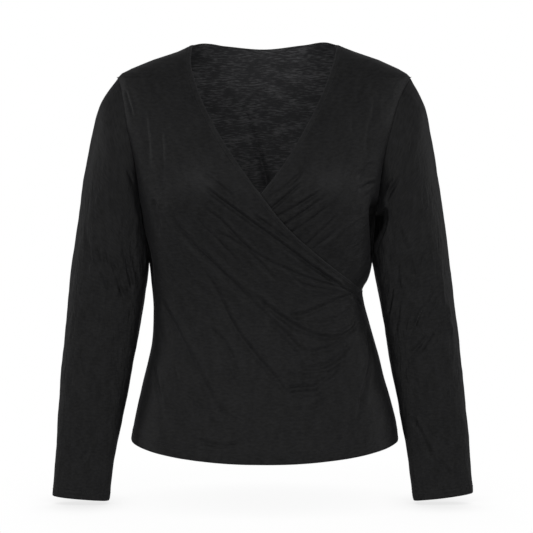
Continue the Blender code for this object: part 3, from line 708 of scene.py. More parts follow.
def shell(name, cloth, materials, stride=2, girth=None):
    """A closed cloth shell: the outer grid, a grid set in by its thickness, and rounded rims.

    The inner grid keeps each stride-th point. A shell with a girth is a tube. The UV map is in
    metres, along the courses and the wales of the knit.
    """
    outer = cloth.points
    rows, columns = outer.shape[:2]
    closed = girth is not None
    lengths = reaches(outer)
    if closed:
        u = np.broadcast_to(np.linspace(0, girth, columns + 1), (rows, columns + 1))
        v = np.broadcast_to(lengths["low"].mean(axis=1)[:, None], (rows, columns + 1))
    else:
        u = lengths["right"] - lengths["right"][:, -1:] / 2
        v = np.broadcast_to(outer[:, :, 2], u.shape)
    uv = np.stack([u, v], axis=-1)
    index = np.arange(rows * columns).reshape(rows, columns)
    if closed:
        index = np.concatenate([index, index[:, :1]], axis=1)
    uv_index = np.arange(index.size).reshape(index.shape)
    kept = np.zeros(rows * columns, bool)
    kept[index[::stride, ::stride].reshape(-1)] = True
    inner_number = np.cumsum(kept) - 1 + rows * columns
    inner_index = inner_number[index[::stride, ::stride]]
    behind = cloth.thickness + (hollow(cloth, closed) if stride > 1 else 0.0)
    inner = (outer - cloth.out * behind[..., None]).reshape(-1, 3)
    outer = outer.reshape(-1, 3)
    face, face_uv = grid_faces(index, uv_index)
    back_face, back_uv = grid_faces(inner_index, uv_index[::stride, ::stride])
    quads = [face, back_face[:, ::-1]]
    quad_uvs = [face_uv, back_uv[:, ::-1]]
    slots = [np.zeros(len(face), int), np.ones(len(back_face), int)]
    wide = []
    wide_uvs = []
    points = [outer, inner[kept]]
    source = [np.arange(rows * columns), np.flatnonzero(kept)]
    if closed:
        rings = [(index[0], uv_index[0], index[1]), (index[-1][::-1], uv_index[-1][::-1], index[-2][::-1])]
    else:
        cells = loop_cells(rows, columns)
        inside = np.clip(cells, [1, 1], [rows - 2, columns - 2])
        rings = [(index[tuple(cells.T)], uv_index[tuple(cells.T)], index[tuple(inside.T)])]
    total = sum(len(part) for part in points)
    for ring, ring_uv, inside in rings:
        away = outer[ring] - outer[inside]
        away = away / np.maximum(np.linalg.norm(away, axis=1, keepdims=True), 1e-12)
        edge = cloth.thickness.reshape(-1)[ring][:, None]
        middle = (outer[ring] + inner[ring]) / 2 + away * edge * RIM_ROUND
        mid = total + np.arange(len(ring))
        mid[-1] = mid[0]
        total += len(ring) - 1
        points.append(middle[:-1])
        source.append(ring[:-1])
        quads.append(np.stack([mid[:-1], mid[1:], ring[1:], ring[:-1]], axis=-1))
        quad_uvs.append(np.stack([ring_uv[:-1], ring_uv[1:], ring_uv[1:], ring_uv[:-1]], axis=-1))
        slots.append(np.zeros(len(ring) - 1, int))
        far = inner_number[ring[::stride]]
        steps = [mid[k:len(mid) - stride + k:stride] for k in range(stride + 1)]
        uv_steps = [ring_uv[k:len(mid) - stride + k:stride] for k in range(stride + 1)]
        wide.append(np.stack([far[:-1], far[1:], *steps[::-1]], axis=-1))
        wide_uvs.append(np.stack([ring_uv[:-1:stride], ring_uv[stride::stride], *uv_steps[::-1]], axis=-1))
        slots.append(np.zeros(len(far) - 1, int))
    points = np.vstack(points)
    source = np.concatenate(source)
    parts = [np.vstack(quads), *wide]
    uv_parts = [np.vstack(quad_uvs), *wide_uvs]
    slots = np.concatenate([*slots[:2], *slots[2::2], *slots[3::2]])
    a, b, c = (points[parts[0][:, k]] for k in (0, 1, 2))
    if np.einsum("ij,ij->i", np.cross(a, b), c).sum() < 0:
        parts = [part[:, ::-1] for part in parts]
        uv_parts = [part[:, ::-1] for part in uv_parts]
    mesh = bpy.data.meshes.new(name)
    mesh.from_pydata(points.tolist(), [], [face for part in parts for face in part.tolist()])
    layer = mesh.uv_layers.new(name="cloth")
    order = np.concatenate([part.reshape(-1) for part in uv_parts])
    layer.data.foreach_set("uv", uv.reshape(-1, 2)[order].astype(np.float32).reshape(-1))
    drape = mesh.attributes.new("drape", "FLOAT_VECTOR", "POINT")
    drape.data.foreach_set("vector", cloth.drape.reshape(-1, 3)[source].astype(np.float32).reshape(-1))
    for key, values in (("crinkle", cloth.crinkle), ("wear", cloth.wear)):
        layer = mesh.attributes.new(key, "FLOAT", "POINT")
        layer.data.foreach_set("value", values.reshape(-1)[source].astype(np.float32))
    for material in materials:
        mesh.materials.append(material)
    mesh.polygons.foreach_set("material_index", slots.astype(np.int32))
    mesh.shade_smooth()
    mesh.update()
    return placed(name, mesh)


# ------------------------------------------------------------------ materials


def linear(code):
    """An sRGB hex colour as a linear one, opaque."""
    parts = [int(code[k:k + 2], 16) / 255 for k in (0, 2, 4)]
    return (*(p / 12.92 if p <= 0.04045 else ((p + 0.055) / 1.055) ** 2.4 for p in parts), 1.0)


def add(tree, kind, links=None, values=None, **settings):
    """Add a node with its settings, socket values and incoming links."""
    node = tree.nodes.new(kind)
    for key, value in settings.items():
        setattr(node, key, value)
    for key, value in (values or {}).items():
        node.inputs[key].default_value = value
    for key, source in (links or {}).items():
        tree.links.new(source, node.inputs[key])
    return node


def new_material(name, values):
    """A material with a lone Principled BSDF that has those values, and its tree."""
    material = bpy.data.materials.new(name)
    material.use_nodes = True
    tree = material.node_tree
    shader = tree.nodes["Principled BSDF"]
    for key, value in values.items():
        shader.inputs[key].default_value = value
    return material, tree, shader


WALE = 0.9 * MM             # spacing of the knit's wales, side by side, drawn coarse to show
COURSE = 0.7 * MM           # spacing of its courses, one above the other
KNIT_RELIEF = 0.05 * MM
CRINKLE = 7.0 * MM          # from one fine crinkle to the next
CRINKLE_RELIEF = 1.5 * MM
PAINTED_HIGHLIGHT_COLOUR = "3a3a3b"             # painted highlight along a folded edge, where it catches the light

# A side of the jersey: its piece-dyed black, the paler colour where the slub yarn is thicker and
# takes less dye, the fineness of the slub's streaks and patches in 1/m, and from where to where
# their sum turns the one colour into the other
Side = namedtuple("Side", "black slub streaks patches low high")
FACE_SIDE = Side("131314", "2a2a2b", (150.0, 320.0, 1.0), (80.0, 32.0, 1.0), 1.10, 2.10)
# The reverse is painted paler than its dye: partly its own paler side with the slub, partly painted light
# that stands for the light falling in on the inside of the back.
REVERSE_SIDE_PAINTED_PALER = Side("444446", "868688", (90.0, 500.0, 1.0), (26.0, 60.0, 1.0), 1.42, 2.15)


def jersey(name, side):
    """Single jersey in viscose, knitted in wales and courses, smooth with a low sheen. On the reverse the
    slub shows as pale streaks along the courses.
    Its colour is lightened towards a pale grey by a painted highlight, along folded edges and over the bust,
    as a point attribute of the mesh gives it."""
    material, tree, shader = new_material(name, {
        "Roughness": 0.52, "IOR": 1.46, "Specular IOR Level": 0.30, "Sheen Weight": 0.07,
        "Sheen Roughness": 0.45, "Sheen Tint": (0.8, 0.8, 0.85, 1.0)})
    place = add(tree, "ShaderNodeUVMap", uv_map="cloth").outputs["UV"]
    split = add(tree, "ShaderNodeSeparateXYZ", {"Vector": place})
    streaks = add(tree, "ShaderNodeMapping", {"Vector": place}, {"Scale": side.streaks})
    slub = add(tree, "ShaderNodeTexNoise", {"Vector": streaks.outputs["Vector"]},
               {"Scale": 1.0, "Detail": 3.0, "Roughness": 0.6})
    patches = add(tree, "ShaderNodeMapping", {"Vector": place}, {"Scale": side.patches})
    mottle = add(tree, "ShaderNodeTexNoise", {"Vector": patches.outputs["Vector"]},
                 {"Scale": 1.0, "Detail": 2.0, "Roughness": 0.5})
    both = add(tree, "ShaderNodeMath", {0: slub.outputs["Fac"], 2: mottle.outputs["Fac"]}, {1: 2.0},
               operation="MULTIPLY_ADD")
    amount = add(tree, "ShaderNodeMapRange", {"Value": both.outputs["Value"]},
                 {"From Min": side.low, "From Max": side.high})
    colour = add(tree, "ShaderNodeMix", {"Factor": amount.outputs["Result"]},
                 {"A": linear(side.black), "B": linear(side.slub)}, data_type="RGBA")
    # Painted highlight: the colour is lightened towards a pale grey along folded edges and over the bust,
    # mottled by the slub.
    wear = add(tree, "ShaderNodeAttribute", attribute_name="wear")
    highlight_share = add(tree, "ShaderNodeMath", {0: wear.outputs["Fac"], 1: both.outputs["Value"]},
                 operation="MULTIPLY")
    highlighted = add(tree, "ShaderNodeMix", {"Factor": highlight_share.outputs["Value"], "A": colour.outputs["Result"]},
               {"B": linear(PAINTED_HIGHLIGHT_COLOUR)}, data_type="RGBA")
    tree.links.new(highlighted.outputs["Result"], shader.inputs["Base Color"])
    drape = add(tree, "ShaderNodeAttribute", attribute_name="drape")
    fine = add(tree, "ShaderNodeTexNoise", {"Vector": drape.outputs["Vector"]},
               {"Scale": 1 / CRINKLE, "Detail": 2.0, "Roughness": 0.55, "Distortion": 0.4})
    crinkle = add(tree, "ShaderNodeAttribute", attribute_name="crinkle")
    folds = add(tree, "ShaderNodeBump", {"Height": fine.outputs["Fac"], "Strength": crinkle.outputs["Fac"]},
                {"Distance": CRINKLE_RELIEF})
    across = add(tree, "ShaderNodeMath", {0: split.outputs["X"]}, {1: math.pi / WALE}, operation="MULTIPLY")
    upward = add(tree, "ShaderNodeMath", {0: split.outputs["Y"]}, {1: math.pi / COURSE}, operation="MULTIPLY")
    rib = add(tree, "ShaderNodeMath", {0: across.outputs["Value"]}, operation="SINE")
    loop = add(tree, "ShaderNodeMath", {0: upward.outputs["Value"]}, operation="SINE")
    ribs = add(tree, "ShaderNodeMath", {0: rib.outputs["Value"]}, operation="ABSOLUTE")
    loops = add(tree, "ShaderNodeMath", {0: loop.outputs["Value"]}, operation="ABSOLUTE")
    knit = add(tree, "ShaderNodeMath", {0: ribs.outputs["Value"], 1: loops.outputs["Value"]},
               operation="MULTIPLY")
    height = add(tree, "ShaderNodeMath", {0: slub.outputs["Fac"], 2: knit.outputs["Value"]}, {1: 2.0},
                 operation="MULTIPLY_ADD")
    bump = add(tree, "ShaderNodeBump", {"Height": height.outputs["Value"], "Normal": folds.outputs["Normal"]},
               {"Strength": 0.6, "Distance": KNIT_RELIEF})
    tree.links.new(bump.outputs["Normal"], shader.inputs["Normal"])
    return material


def thread():
    """Spun polyester sewing thread, twisted: a little smoother and lighter than the jersey."""
    material, tree, shader = new_material("polyester_thread_twisted",
                                          {"Base Color": linear("242426"), "Roughness": 0.5})
    place = add(tree, "ShaderNodeTexCoord").outputs["Object"]
    ply = add(tree, "ShaderNodeTexNoise", {"Vector": place}, {"Scale": 1800.0, "Detail": 1.0})
    bump = add(tree, "ShaderNodeBump", {"Height": ply.outputs["Fac"]},
               {"Strength": 0.5, "Distance": 0.05 * MM})
    tree.links.new(bump.outputs["Normal"], shader.inputs["Normal"])
    return material


FACE = jersey("viscose_jersey_face_knitted", FACE_SIDE)
REVERSE = jersey("viscose_jersey_reverse_knitted", REVERSE_SIDE_PAINTED_PALER)
THREAD = thread()

# ------------------------------------------------------------------ the cut pieces

# The last field is a painted highlight that lightens the cloth's colour.
Cloth = namedtuple("Cloth", "points out thickness reach drape crinkle wear")
DRAPE_CENTRE = (0.200, -0.378)  # the crinkles of the wrap fan out from here
STRETCH = 3.5               # a crinkle is this many times longer than it is wide
SHORT_STRETCH = 2.0         # and on the right front and the back, where they are softer


def fanned(flat):
    """Coordinates across and along the crinkles that fan out from the gathered side seam."""
    x = DRAPE_CENTRE[0] - flat[..., 0]
    z = flat[..., 1] - DRAPE_CENTRE[1]
    out = np.hypot(x, z)
    return np.stack([(0.10 + 0.55 * out) * np.arctan2(z, x), out / SHORT_STRETCH, 0 * x], axis=-1)


def slanted(flat, degrees):
    """Coordinates across and along crinkles that run up at an angle."""
    turn = math.radians(degrees)
    across = flat[..., 1] * math.cos(turn) - flat[..., 0] * math.sin(turn)
    lengthwise = flat[..., 0] * math.cos(turn) + flat[..., 1] * math.sin(turn)
    return np.stack([across, lengthwise / STRETCH, 0 * across], axis=-1)


def fold_highlight(reach):
    """How much painted highlight lies along a turned edge: most on the fold, a little on its turning."""
    return 0.35 * (1 - smooth(0.3 * MM, 1.8 * MM, reach)) + 0.10 * (1 - smooth(6 * MM, 9 * MM, reach))


def bust_highlight(flat):
    """How much painted highlight lies over the fullest part of the front, where it catches the light."""
    across = np.abs(flat[..., 0]) - BUST_ACROSS - 0.006
    upward = flat[..., 1] - BUST_HEIGHT - 0.010
    return 0.30 * np.exp(-(across / 0.026) ** 2 - (upward / 0.018) ** 2)


def finish_piece(piece, node):
    """Hang a shell from the root, and hide the part of the model that it stands for."""
    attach(piece, "root")
    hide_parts(node)


def covered(flat):
    """1 where the right front lies over the left front, fading out beyond its edge."""
    x = flat[..., 0]
    z = flat[..., 1]
    beyond = (x - along(WRAP_EDGE, "height", "across", z)) * EDGE_LEAN
    beyond = np.where(z < WAIST, -1.0, beyond)
    return 1 - smooth(TUCKED, UNTUCKED, beyond)


def front_borders(over, hem):
    """Borders of a front panel: the whole side seam and armhole, and the side that crosses over."""
    near, far, edge = ("right", "left", WRAP_EDGE) if over else ("left", "right", UNDER_EDGE)
    own = [seam_line(near, hem, hem + HEM_RUN), seam_line(near, hem + HEM_RUN, WAIST),
           seam_line(near, WAIST, UNDERARM), seam_line(near, UNDERARM, TIP)]
    crossed = [seam_line(far, hem, hem + HEM_RUN), seam_line(far, hem + HEM_RUN, WAIST),
               edge_line(edge, WAIST, MID_EDGE), edge_line(edge, MID_EDGE, 0.0)]
    return border("front", own, FRONT_ROWS), border("front", crossed, FRONT_ROWS)


def inside_seams(reach, sides):
    """1 inside a panel, falling to 0 towards the borders that are sewn."""
    return math.prod(smooth(0, SEWN_FADE, reach[side]) for side in sides)


def laid_out(face, flat):
    """The smooth form of a panel, its distances to the borders and its outward normals."""
    points = on_form(face, flat)
    out = normals(points)
    return points, reaches(points), out if face == "front" else -out


def right_front():
    own, crossed = front_borders(True, HEM)
    waist_row = FRONT_ROWS[0] + FRONT_ROWS[1]
    flat = panel("front", own, crossed, lambda x: shoulder("right", -x), FRONT_COLUMNS, waist_row)
    smooth_form, reach, out = laid_out("front", flat)
    edge_row = smooth(SEWN_TO, FREE_FROM, smooth_form[:, -1:, 2])
    lift = creased(flat, OVER_CREASES) + unevenness(smooth_form, FRONT_SWELL)
    lift = lift * inside_seams(reach, ("right", "high")) * smooth(0, FREE_FADE, reach["left"])
    lift = lift + turned_edge(reach["low"], HEM_TURNING)
    lift = lift + seam_roll(reach["right"]) + seam_roll(reach["high"])
    lift = lift + edge_row * turned_edge(reach["left"], NECK_TURNING)
    lift = lift + (1 - edge_row) * seam_roll(reach["left"])
    points = smooth_form + out * lift[..., None]
    out = normals(points)
    thickness = CLOTH + doubled(reach["low"], HEM_TURNING) + edge_row * doubled(reach["left"], NECK_TURNING)
    crinkle = np.full(flat.shape[:-1], 0.46)
    # Painted highlight along the folded wrap edge and over the bust.
    wear = edge_row * fold_highlight(reach["left"]) + bust_highlight(flat)
    return Cloth(points, out, thickness, reach, fanned(flat), crinkle, wear)


def left_front():
    own, crossed = front_borders(False, HEM + UNDER_HEM_LIFT)
    waist_row = FRONT_ROWS[0] + FRONT_ROWS[1]
    flat = panel("front", crossed, own, lambda x: shoulder("left", x), UNDER_COLUMNS, waist_row)
    smooth_form, reach, out = laid_out("front", flat)
    cover = covered(flat)
    inside = smooth(0.0, 0.1, 1 - seam_share(flat))
    edge_row = smooth(SEWN_TO, FREE_FROM, smooth_form[:, :1, 2])
    swell = unevenness(smooth_form, FRONT_SWELL)
    above = np.minimum(creased(flat, OVER_CREASES) + swell, 0.6 * MM)
    own_relief = creased(flat, UNDER_CREASES) + swell
    own_relief = own_relief * (1 - cover) + np.minimum(own_relief, 0.0) * cover
    fade = inside_seams(reach, ("left", "high")) * smooth(0, FREE_FADE, reach["right"])
    lift = (above * cover + own_relief) * fade
    lift = lift + (1 - cover) * (seam_roll(reach["left"]) + seam_roll(reach["high"]))
    lift = lift + edge_row * (1 - cover) * turned_edge(reach["right"], NECK_TURNING)
    lift = lift - (1.8 * CLOTH + LOOSE * inside) * cover
    points = smooth_form + out * lift[..., None]
    points[..., 1] = np.minimum(points[..., 1], -SEAM)
    out = normals(points)
    thickness = CLOTH + doubled(reach["low"], HEM_TURNING) + edge_row * doubled(reach["right"], NECK_TURNING)
    crinkle = 0.45 + 0.30 * smooth(-0.13, -0.22, flat[..., 1])
    # Painted highlight along the folded edge and over the bust.
    wear = edge_row * fold_highlight(reach["right"]) + bust_highlight(flat)
    return Cloth(points, out, thickness, reach, slanted(flat, 38), crinkle, wear)


def back_top(x):
    """Top line of the back: shoulder seam, neck edge, shoulder seam."""
    neck = along(BACK_NECK, "height", "across", x)
    outside = np.where(x < 0, shoulder("right", -x), shoulder("left", x))
    inside = (x > BACK_NECK[0].height) & (x < BACK_NECK[-1].height)
    return np.where(inside, neck, outside)


def back():
    borders = []
    for side in ("right", "left"):
        lines = [seam_line(side, HEM, HEM + HEM_RUN), seam_line(side, HEM + HEM_RUN, UNDERARM),
                 seam_line(side, UNDERARM, TIP)]
        borders.append(border("back", lines, BACK_ROWS))
    quarter = BACK_COLUMNS // 4
    corners = ((quarter, BACK_NECK[0].height), (BACK_COLUMNS - quarter, BACK_NECK[-1].height))
    waist_row = BACK_ROWS[0] + BACK_ROWS[1]
    flat = panel("back", borders[0], borders[1], back_top, BACK_COLUMNS, waist_row, corners)
    smooth_form, reach, out = laid_out("back", flat)
    column = np.arange(BACK_COLUMNS + 1)[None, :]
    neck = smooth(quarter - 2, quarter + 1, column) * smooth(quarter - 2, quarter + 1, BACK_COLUMNS - column)
    lift = creased(flat, BACK_CREASES) + unevenness(smooth_form, BACK_SWELL)
    lift = lift * inside_seams(reach, ("right", "left", "high"))
    lift = lift + turned_edge(reach["low"], HEM_TURNING)
    lift = lift + seam_roll(reach["right"]) + seam_roll(reach["left"])
    lift = lift + neck * turned_edge(reach["high"], NECK_TURNING) + (1 - neck) * seam_roll(reach["high"])
    points = smooth_form + out * lift[..., None]
    out = -normals(points)
    thickness = CLOTH + doubled(reach["low"], HEM_TURNING) + neck * doubled(reach["high"], NECK_TURNING)
    crinkle = 0.30 + 0.50 * smooth(-0.16, -0.28, flat[..., 1])
    # Painted highlight along the folded back neck edge.
    wear = neck * fold_highlight(reach["high"])
    return Cloth(points, out, thickness, reach, fanned(flat), crinkle, wear)


def armhole(side, angles):
    """The armhole ring, from the shoulder tip forward, down to the underarm and up the back."""
    z = (TIP + UNDERARM) / 2 + (TIP - UNDERARM) / 2 * np.cos(angles)
    reach = np.where(np.sin(angles) > 0, ARM_FRONT, ARM_BACK)
    x = half_width(side, z) + SEAM
    return np.column_stack([x, -reach * np.sin(angles), z])


def sleeve_form(side):
    """Rings of a sleeve from the cuff up to the armhole, on smooth curves through its sections."""
    angles = np.linspace(0, 2 * math.pi, SLEEVE_SIDES, endpoint=False)
    rings = [armhole(side, angles)]
    for ring in SLEEVES[side]:
        share = (1 + np.cos(angles)) / 2
        x = ring.inner + (ring.outer - ring.inner) * share
        z = ring.inner_height + (ring.outer_height - ring.inner_height) * share
        square = 0.82 - 0.34 * smooth(0.0, -1.0, np.cos(angles))
        y = -ring.forward - ring.depth * np.sign(np.sin(angles)) * np.abs(np.sin(angles)) ** square
        rings.append(np.column_stack([x, y, z]))
    rings = np.array(rings)
    moved = np.linalg.norm(np.diff(rings.mean(axis=1), axis=0), axis=1)
    knots = np.append(0.0, np.cumsum(moved))
    shares = crowded(SLEEVE_ROWS + 1, knots[-1], SIDE_DENSITY, SLEEVE_ZONE)
    points = curve(knots, rings, shares[::-1] * knots[-1])
    tuck = SLEEVE_TUCKS[side]
    share = (1 - np.cos(angles)) / 2
    pinch = tucked(tuck, points[..., 2], share)
    slope = np.clip((share - tuck.at_high) / (1 - tuck.at_high), 0.0, 1.0)
    points[..., 1] = points[..., 1] * (1 - (1 - tuck.keep) * pinch) + TUCK_BEHIND[side] * pinch * slope
    points[..., 0] *= SIGN[side]
    return points


def sleeve(side):
    smooth_form = sleeve_form(side)
    reach = reaches(smooth_form)
    out = normals(smooth_form, closed=True)
    centre = smooth_form.mean(axis=1, keepdims=True)
    if ((smooth_form - centre) * out).sum() < 0:
        out = -out
    flat = smooth_form[..., [0, 2]]
    lift = unevenness(smooth_form, SLEEVE_SWELLS[side])
    for face, towards in (("front", -1.0), ("back", 1.0)):
        facing = smooth(0.05, 0.45, towards * out[..., 1])
        lift = lift + creased(flat, SLEEVE_CREASES[side, face]) * facing
    lift = lift * smooth(0, 0.02, reach["high"])
    lift = lift + turned_edge(reach["low"], CUFF_TURNING) + seam_roll(reach["high"])
    points = smooth_form + out * lift[..., None]
    turned = normals(points, closed=True)
    out = turned * np.sign((turned * out).sum(axis=-1, keepdims=True))
    thickness = CLOTH + doubled(reach["low"], CUFF_TURNING)
    drape = points / (1.0, 1.0, STRETCH)
    crinkle = 0.4 + 1.0 * smooth(-0.16, -0.26, points[..., 2]) - 0.2 * smooth(-0.44, -0.56, points[..., 2])
    wear = np.zeros(points.shape[:2])
    return Cloth(points, out, thickness, reach, drape, crinkle, wear)


# ------------------------------------------------------------------ stitching

PITCH = 2.8 * MM            # from stitch to stitch
STITCH_LENGTH = 2.2 * MM
STITCH_WIDTH = 0.42 * MM
NEEDLE_GAP = 2.0 * MM       # between the two rows of a twin-needle hem
TURNINGS_RADIUS = 0.6 * MM  # of the overlocked turnings behind a seam
TURNINGS_BELOW = -0.72 * MM
TURNINGS_OUT = 0.3 * MM


def stitch_tree():
    """Stitches along a curve: a small rounded bar on every pitch, turned along the curve."""
    tree = bpy.data.node_groups.new("stitches", "GeometryNodeTree")
    tree.interface.new_socket("Geometry", in_out="OUTPUT", socket_type="NodeSocketGeometry")
    tree.interface.new_socket("Geometry", in_out="INPUT", socket_type="NodeSocketGeometry")
    for name in ("Pitch", "Length", "Width"):
        tree.interface.new_socket(name, in_out="INPUT", socket_type="NodeSocketFloat")
    tree.interface.new_socket("Thread", in_out="INPUT", socket_type="NodeSocketMaterial")
    given = add(tree, "NodeGroupInput").outputs
    spaced = add(tree, "GeometryNodeResampleCurve", {"Curve": given["Geometry"], "Length": given["Pitch"]},
                 mode="LENGTH")
    tangent = add(tree, "GeometryNodeInputTangent")
    turn = add(tree, "FunctionNodeAlignRotationToVector", {"Vector": tangent.outputs["Tangent"]}, axis="X")
    ball = add(tree, "GeometryNodeMeshUVSphere", None, {"Segments": 8, "Rings": 5, "Radius": 0.5})
    soft = add(tree, "GeometryNodeSetShadeSmooth", {"Geometry": ball.outputs["Mesh"]})
    size = add(tree, "ShaderNodeCombineXYZ", {"X": given["Length"], "Y": given["Width"], "Z": given["Width"]})
    placed = add(tree, "GeometryNodeInstanceOnPoints", {
        "Points": spaced.outputs["Curve"], "Instance": soft.outputs["Geometry"],
        "Rotation": turn.outputs["Rotation"], "Scale": size.outputs["Vector"]})
    real = add(tree, "GeometryNodeRealizeInstances", {"Geometry": placed.outputs["Instances"]})
    named = add(tree, "GeometryNodeSetMaterial", {"Geometry": real.outputs["Geometry"],
                                                  "Material": given["Thread"]})
    add(tree, "NodeGroupOutput", {"Geometry": named.outputs["Geometry"]})
    return tree


STITCHES = stitch_tree()


def level_line(cloth, border_name, wanted, above=0.08 * MM):
    """The line over the cloth at a distance from one of its borders, just above its surface."""
    reach = cloth.reach[border_name]
    points = cloth.points + cloth.out * above
    if border_name in ("low", "high"):
        reach = reach.T
        points = points.transpose(1, 0, 2)
    if border_name in ("left", "high"):
        reach = reach[:, ::-1]
        points = points[:, ::-1]
    return np.array([[np.interp(wanted, r, p[:, k]) for k in range(3)] for r, p in zip(reach, points)])


def sewn(name, lines, stitches=True):
    """Sew along each line, and return the stitches as one mesh object. Without stitches it is
    the overlocked turnings of a seam, a round cord of thread that lies behind it."""
    path = bpy.data.curves.new(name + "_path", "CURVE")
    path.dimensions = "3D"
    for line in lines:
        spline = path.splines.new("POLY")
        spline.points.add(len(line) - 1)
        spline.points.foreach_set("co", np.column_stack([line, np.ones(len(line))]).reshape(-1))
    holder = placed(name + "_path", path)
    if stitches:
        sewing = holder.modifiers.new("sewing", "NODES")
        sewing.node_group = STITCHES
        sizes = {"Pitch": PITCH, "Length": STITCH_LENGTH, "Width": STITCH_WIDTH, "Thread": THREAD}
        for item in STITCHES.interface.items_tree:
            if item.in_out == "INPUT" and item.name in sizes:
                sewing[item.identifier] = sizes[item.name]
    else:
        path.bevel_depth = TURNINGS_RADIUS
        path.bevel_resolution = 1
        path.materials.append(THREAD)
    graph = bpy.context.evaluated_depsgraph_get()
    mesh = bpy.data.meshes.new_from_object(holder.evaluated_get(graph), depsgraph=graph)
    mesh.name = name
    bpy.data.objects.remove(holder)
    bpy.data.curves.remove(path)
    piece = placed(name, mesh)
    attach(piece, "root")
    return piece


# ------------------------------------------------------------------ making the top

# What a cut would hold: its width and length before sewing, and its area, because none of them is a
# # rectangle. No cut is given, and this is not used.
Cut = namedtuple("Cut", "width length area")


def turning_rows(cloth, border_name, turning, rows=2):
    """The lines of stitching of a turned edge."""
    inside = turning - STITCH_INSET
    return [level_line(cloth, border_name, inside - k * NEEDLE_GAP) for k in range(rows)]


def seam_behind(cloth, border_name):
    """The line of the overlocked turnings behind a border that is sewn, just outside it."""
    edge = level_line(cloth, border_name, 0.0, TURNINGS_BELOW)
    away = edge - level_line(cloth, border_name, 1.0 * MM, TURNINGS_BELOW)
    return edge + TURNINGS_OUT * away / np.maximum(np.linalg.norm(away, axis=1, keepdims=True), 0.1 * MM)


def make_top():
    both_faces = (FACE, REVERSE)
    made = {}
    for node, cloth, edge, column in (("right_front", right_front(), "left", -1),
                                      ("left_front", left_front(), "right", 0)):
        free = cloth.points[:, column, 2] > FREE_FROM
        lines = [turning_rows(cloth, edge, NECK_TURNING, 1)[0][free]]
        if node == "right_front":
            lines += turning_rows(cloth, "low", HEM_TURNING)
        made[node] = (shell(node + "_shell", cloth, both_faces), lines, [])
    cloth = back()
    quarter = BACK_COLUMNS // 4
    neck = turning_rows(cloth, "high", NECK_TURNING, 1)[0][quarter + 1:-quarter - 1]
    beneath_arm = BACK_ROWS[0] + BACK_ROWS[1]
    seams = [seam_behind(cloth, name)[1:beneath_arm] for name in ("right", "left")]
    shoulders = seam_behind(cloth, "high")
    seams += [shoulders[1:quarter], shoulders[-quarter:-1]]
    made["back"] = (shell("back_shell", cloth, both_faces, stride=1),
                    [neck, *turning_rows(cloth, "low", HEM_TURNING)], seams)
    for side in ("right", "left"):
        cloth = sleeve(side)
        girth = np.linalg.norm(np.diff(cloth.points, axis=1), axis=-1).sum(axis=1).mean()
        rows = [*turning_rows(cloth, "low", CUFF_TURNING), seam_behind(cloth, "high")]
        rows = [np.vstack([row, row[:1]]) for row in rows]
        made[side + "_sleeve"] = (shell(side + "_sleeve_shell", cloth, both_faces, stride=1, girth=girth),
                                  rows[:-1], rows[-1:])
    for node, (piece, lines, seams) in made.items():
        sewing = [sewn(node + "_stitching", lines)]
        if seams:
            sewing.append(sewn(node + "_seam_turnings", seams, stitches=False))
        finish_piece(piece, node)


# ------------------------------------------------------------------ floor, light and camera

FLOOR = -0.686
FLOOR_HALF = 12.0
# Soft lights: the direction each comes from, its spread in degrees and its strength
SOFTBOXES = {
    "right_softbox": ((-0.62, -1.0, 0.34), 30, 0.15),
    "left_softbox": ((0.62, -1.0, 0.30), 30, 0.11),
    "right_strip_light": ((-1.0, 0.12, 0.15), 35, 0.28),
    "left_strip_light": ((1.0, 0.12, 0.15), 35, 0.28),
    "front_softbox": ((-0.04, -1.0, 0.16), 30, 0.12),
}


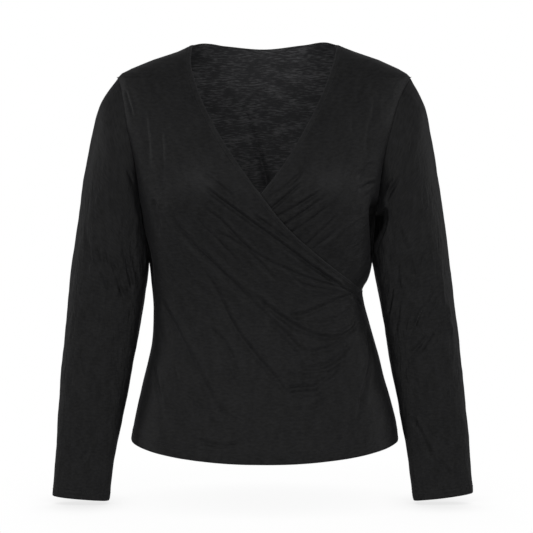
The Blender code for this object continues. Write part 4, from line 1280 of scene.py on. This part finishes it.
def pale_floor():
    """A white studio floor, just below the cuffs, that glows evenly and throws no light back. The top's
    shadow is painted into that glow by ambient occlusion, only softly, where the top stands close."""
    material, tree, shader = new_material("glowing_floor_painted_shadow", {
        "Base Color": linear("000000"), "Roughness": 1.0, "Specular IOR Level": 0.0,
        "Emission Color": linear("ffffff")})
    # Painted shadow: the glow is dimmed by ambient occlusion, faintly over a wide reach and a little deeper
    # close by.
    beneath = add(tree, "ShaderNodeAmbientOcclusion", None, {"Distance": 0.30}, samples=16)
    near_by = add(tree, "ShaderNodeAmbientOcclusion", None, {"Distance": 0.07}, samples=16)
    wide = add(tree, "ShaderNodeMapRange", {"Value": beneath.outputs["AO"]},
               {"From Min": 0.4, "From Max": 0.95, "To Min": 0.94, "To Max": 1.0})
    close = add(tree, "ShaderNodeMapRange", {"Value": near_by.outputs["AO"]},
                {"From Min": 0.4, "From Max": 0.95, "To Min": 0.83, "To Max": 1.0})
    shade = add(tree, "ShaderNodeMath", {0: wide.outputs["Result"], 1: close.outputs["Result"]},
                operation="MULTIPLY")
    tree.links.new(shade.outputs["Value"], shader.inputs["Emission Strength"])
    mesh = bpy.data.meshes.new("floor")
    corners = [(x * FLOOR_HALF, y * FLOOR_HALF, FLOOR) for x, y in ((-1, -1), (1, -1), (1, 1), (-1, 1))]
    mesh.from_pydata(corners, [], [(0, 1, 2, 3)])
    mesh.materials.append(material)
    floor = placed("floor", mesh)
    floor.visible_diffuse = False
    floor.visible_glossy = False


def softbox(name, direction, spread, strength):
    """A wide soft light from far off, so that it falls evenly over the whole top."""
    light = bpy.data.lights.new(name, "SUN")
    light.angle = math.radians(spread)
    light.energy = strength
    placed(name, light).rotation_euler = Vector(direction).to_track_quat("Z", "Y").to_euler()


def studio():
    """Surroundings that the camera sees as plain white, though they light the cloth only faintly,
    and least from behind."""
    world = bpy.data.worlds.new("studio")
    bpy.context.scene.world = world
    world.use_nodes = True
    tree = world.node_tree
    direction = add(tree, "ShaderNodeTexCoord").outputs["Generated"]
    split = add(tree, "ShaderNodeSeparateXYZ", {"Vector": direction})
    faint = add(tree, "ShaderNodeMapRange", {"Value": split.outputs["Y"]},
                {"From Min": -1.0, "From Max": 1.0, "To Min": 0.36, "To Max": 0.12})
    path = add(tree, "ShaderNodeLightPath")
    strength = add(tree, "ShaderNodeMapRange", {"Value": path.outputs["Is Camera Ray"],
                                                "To Min": faint.outputs["Result"]}, {"To Max": 1.0})
    tree.links.new(strength.outputs["Result"], tree.nodes["Background"].inputs["Strength"])
    tree.nodes["Background"].inputs["Color"].default_value = (1.0, 1.0, 1.0, 1.0)
    for name, (direction, spread, strength) in SOFTBOXES.items():
        softbox(name, direction, spread, strength)


def camera():
    """Level with the chest, looking a little down, far enough away for a long lens."""
    lens = bpy.data.cameras.new("camera")
    lens.sensor_width = 36.0
    lens.lens = 108.5
    holder = placed("camera", lens)
    holder.location = (0.003, -2.4, -0.1173)
    target = Vector((0.003, 0.0, -0.32955))
    holder.rotation_euler = (target - holder.location).to_track_quat("-Z", "Y").to_euler()
    bpy.context.scene.camera = holder


make_top()
pale_floor()
studio()
camera()
bpy.context.scene.view_settings.view_transform = "Standard"
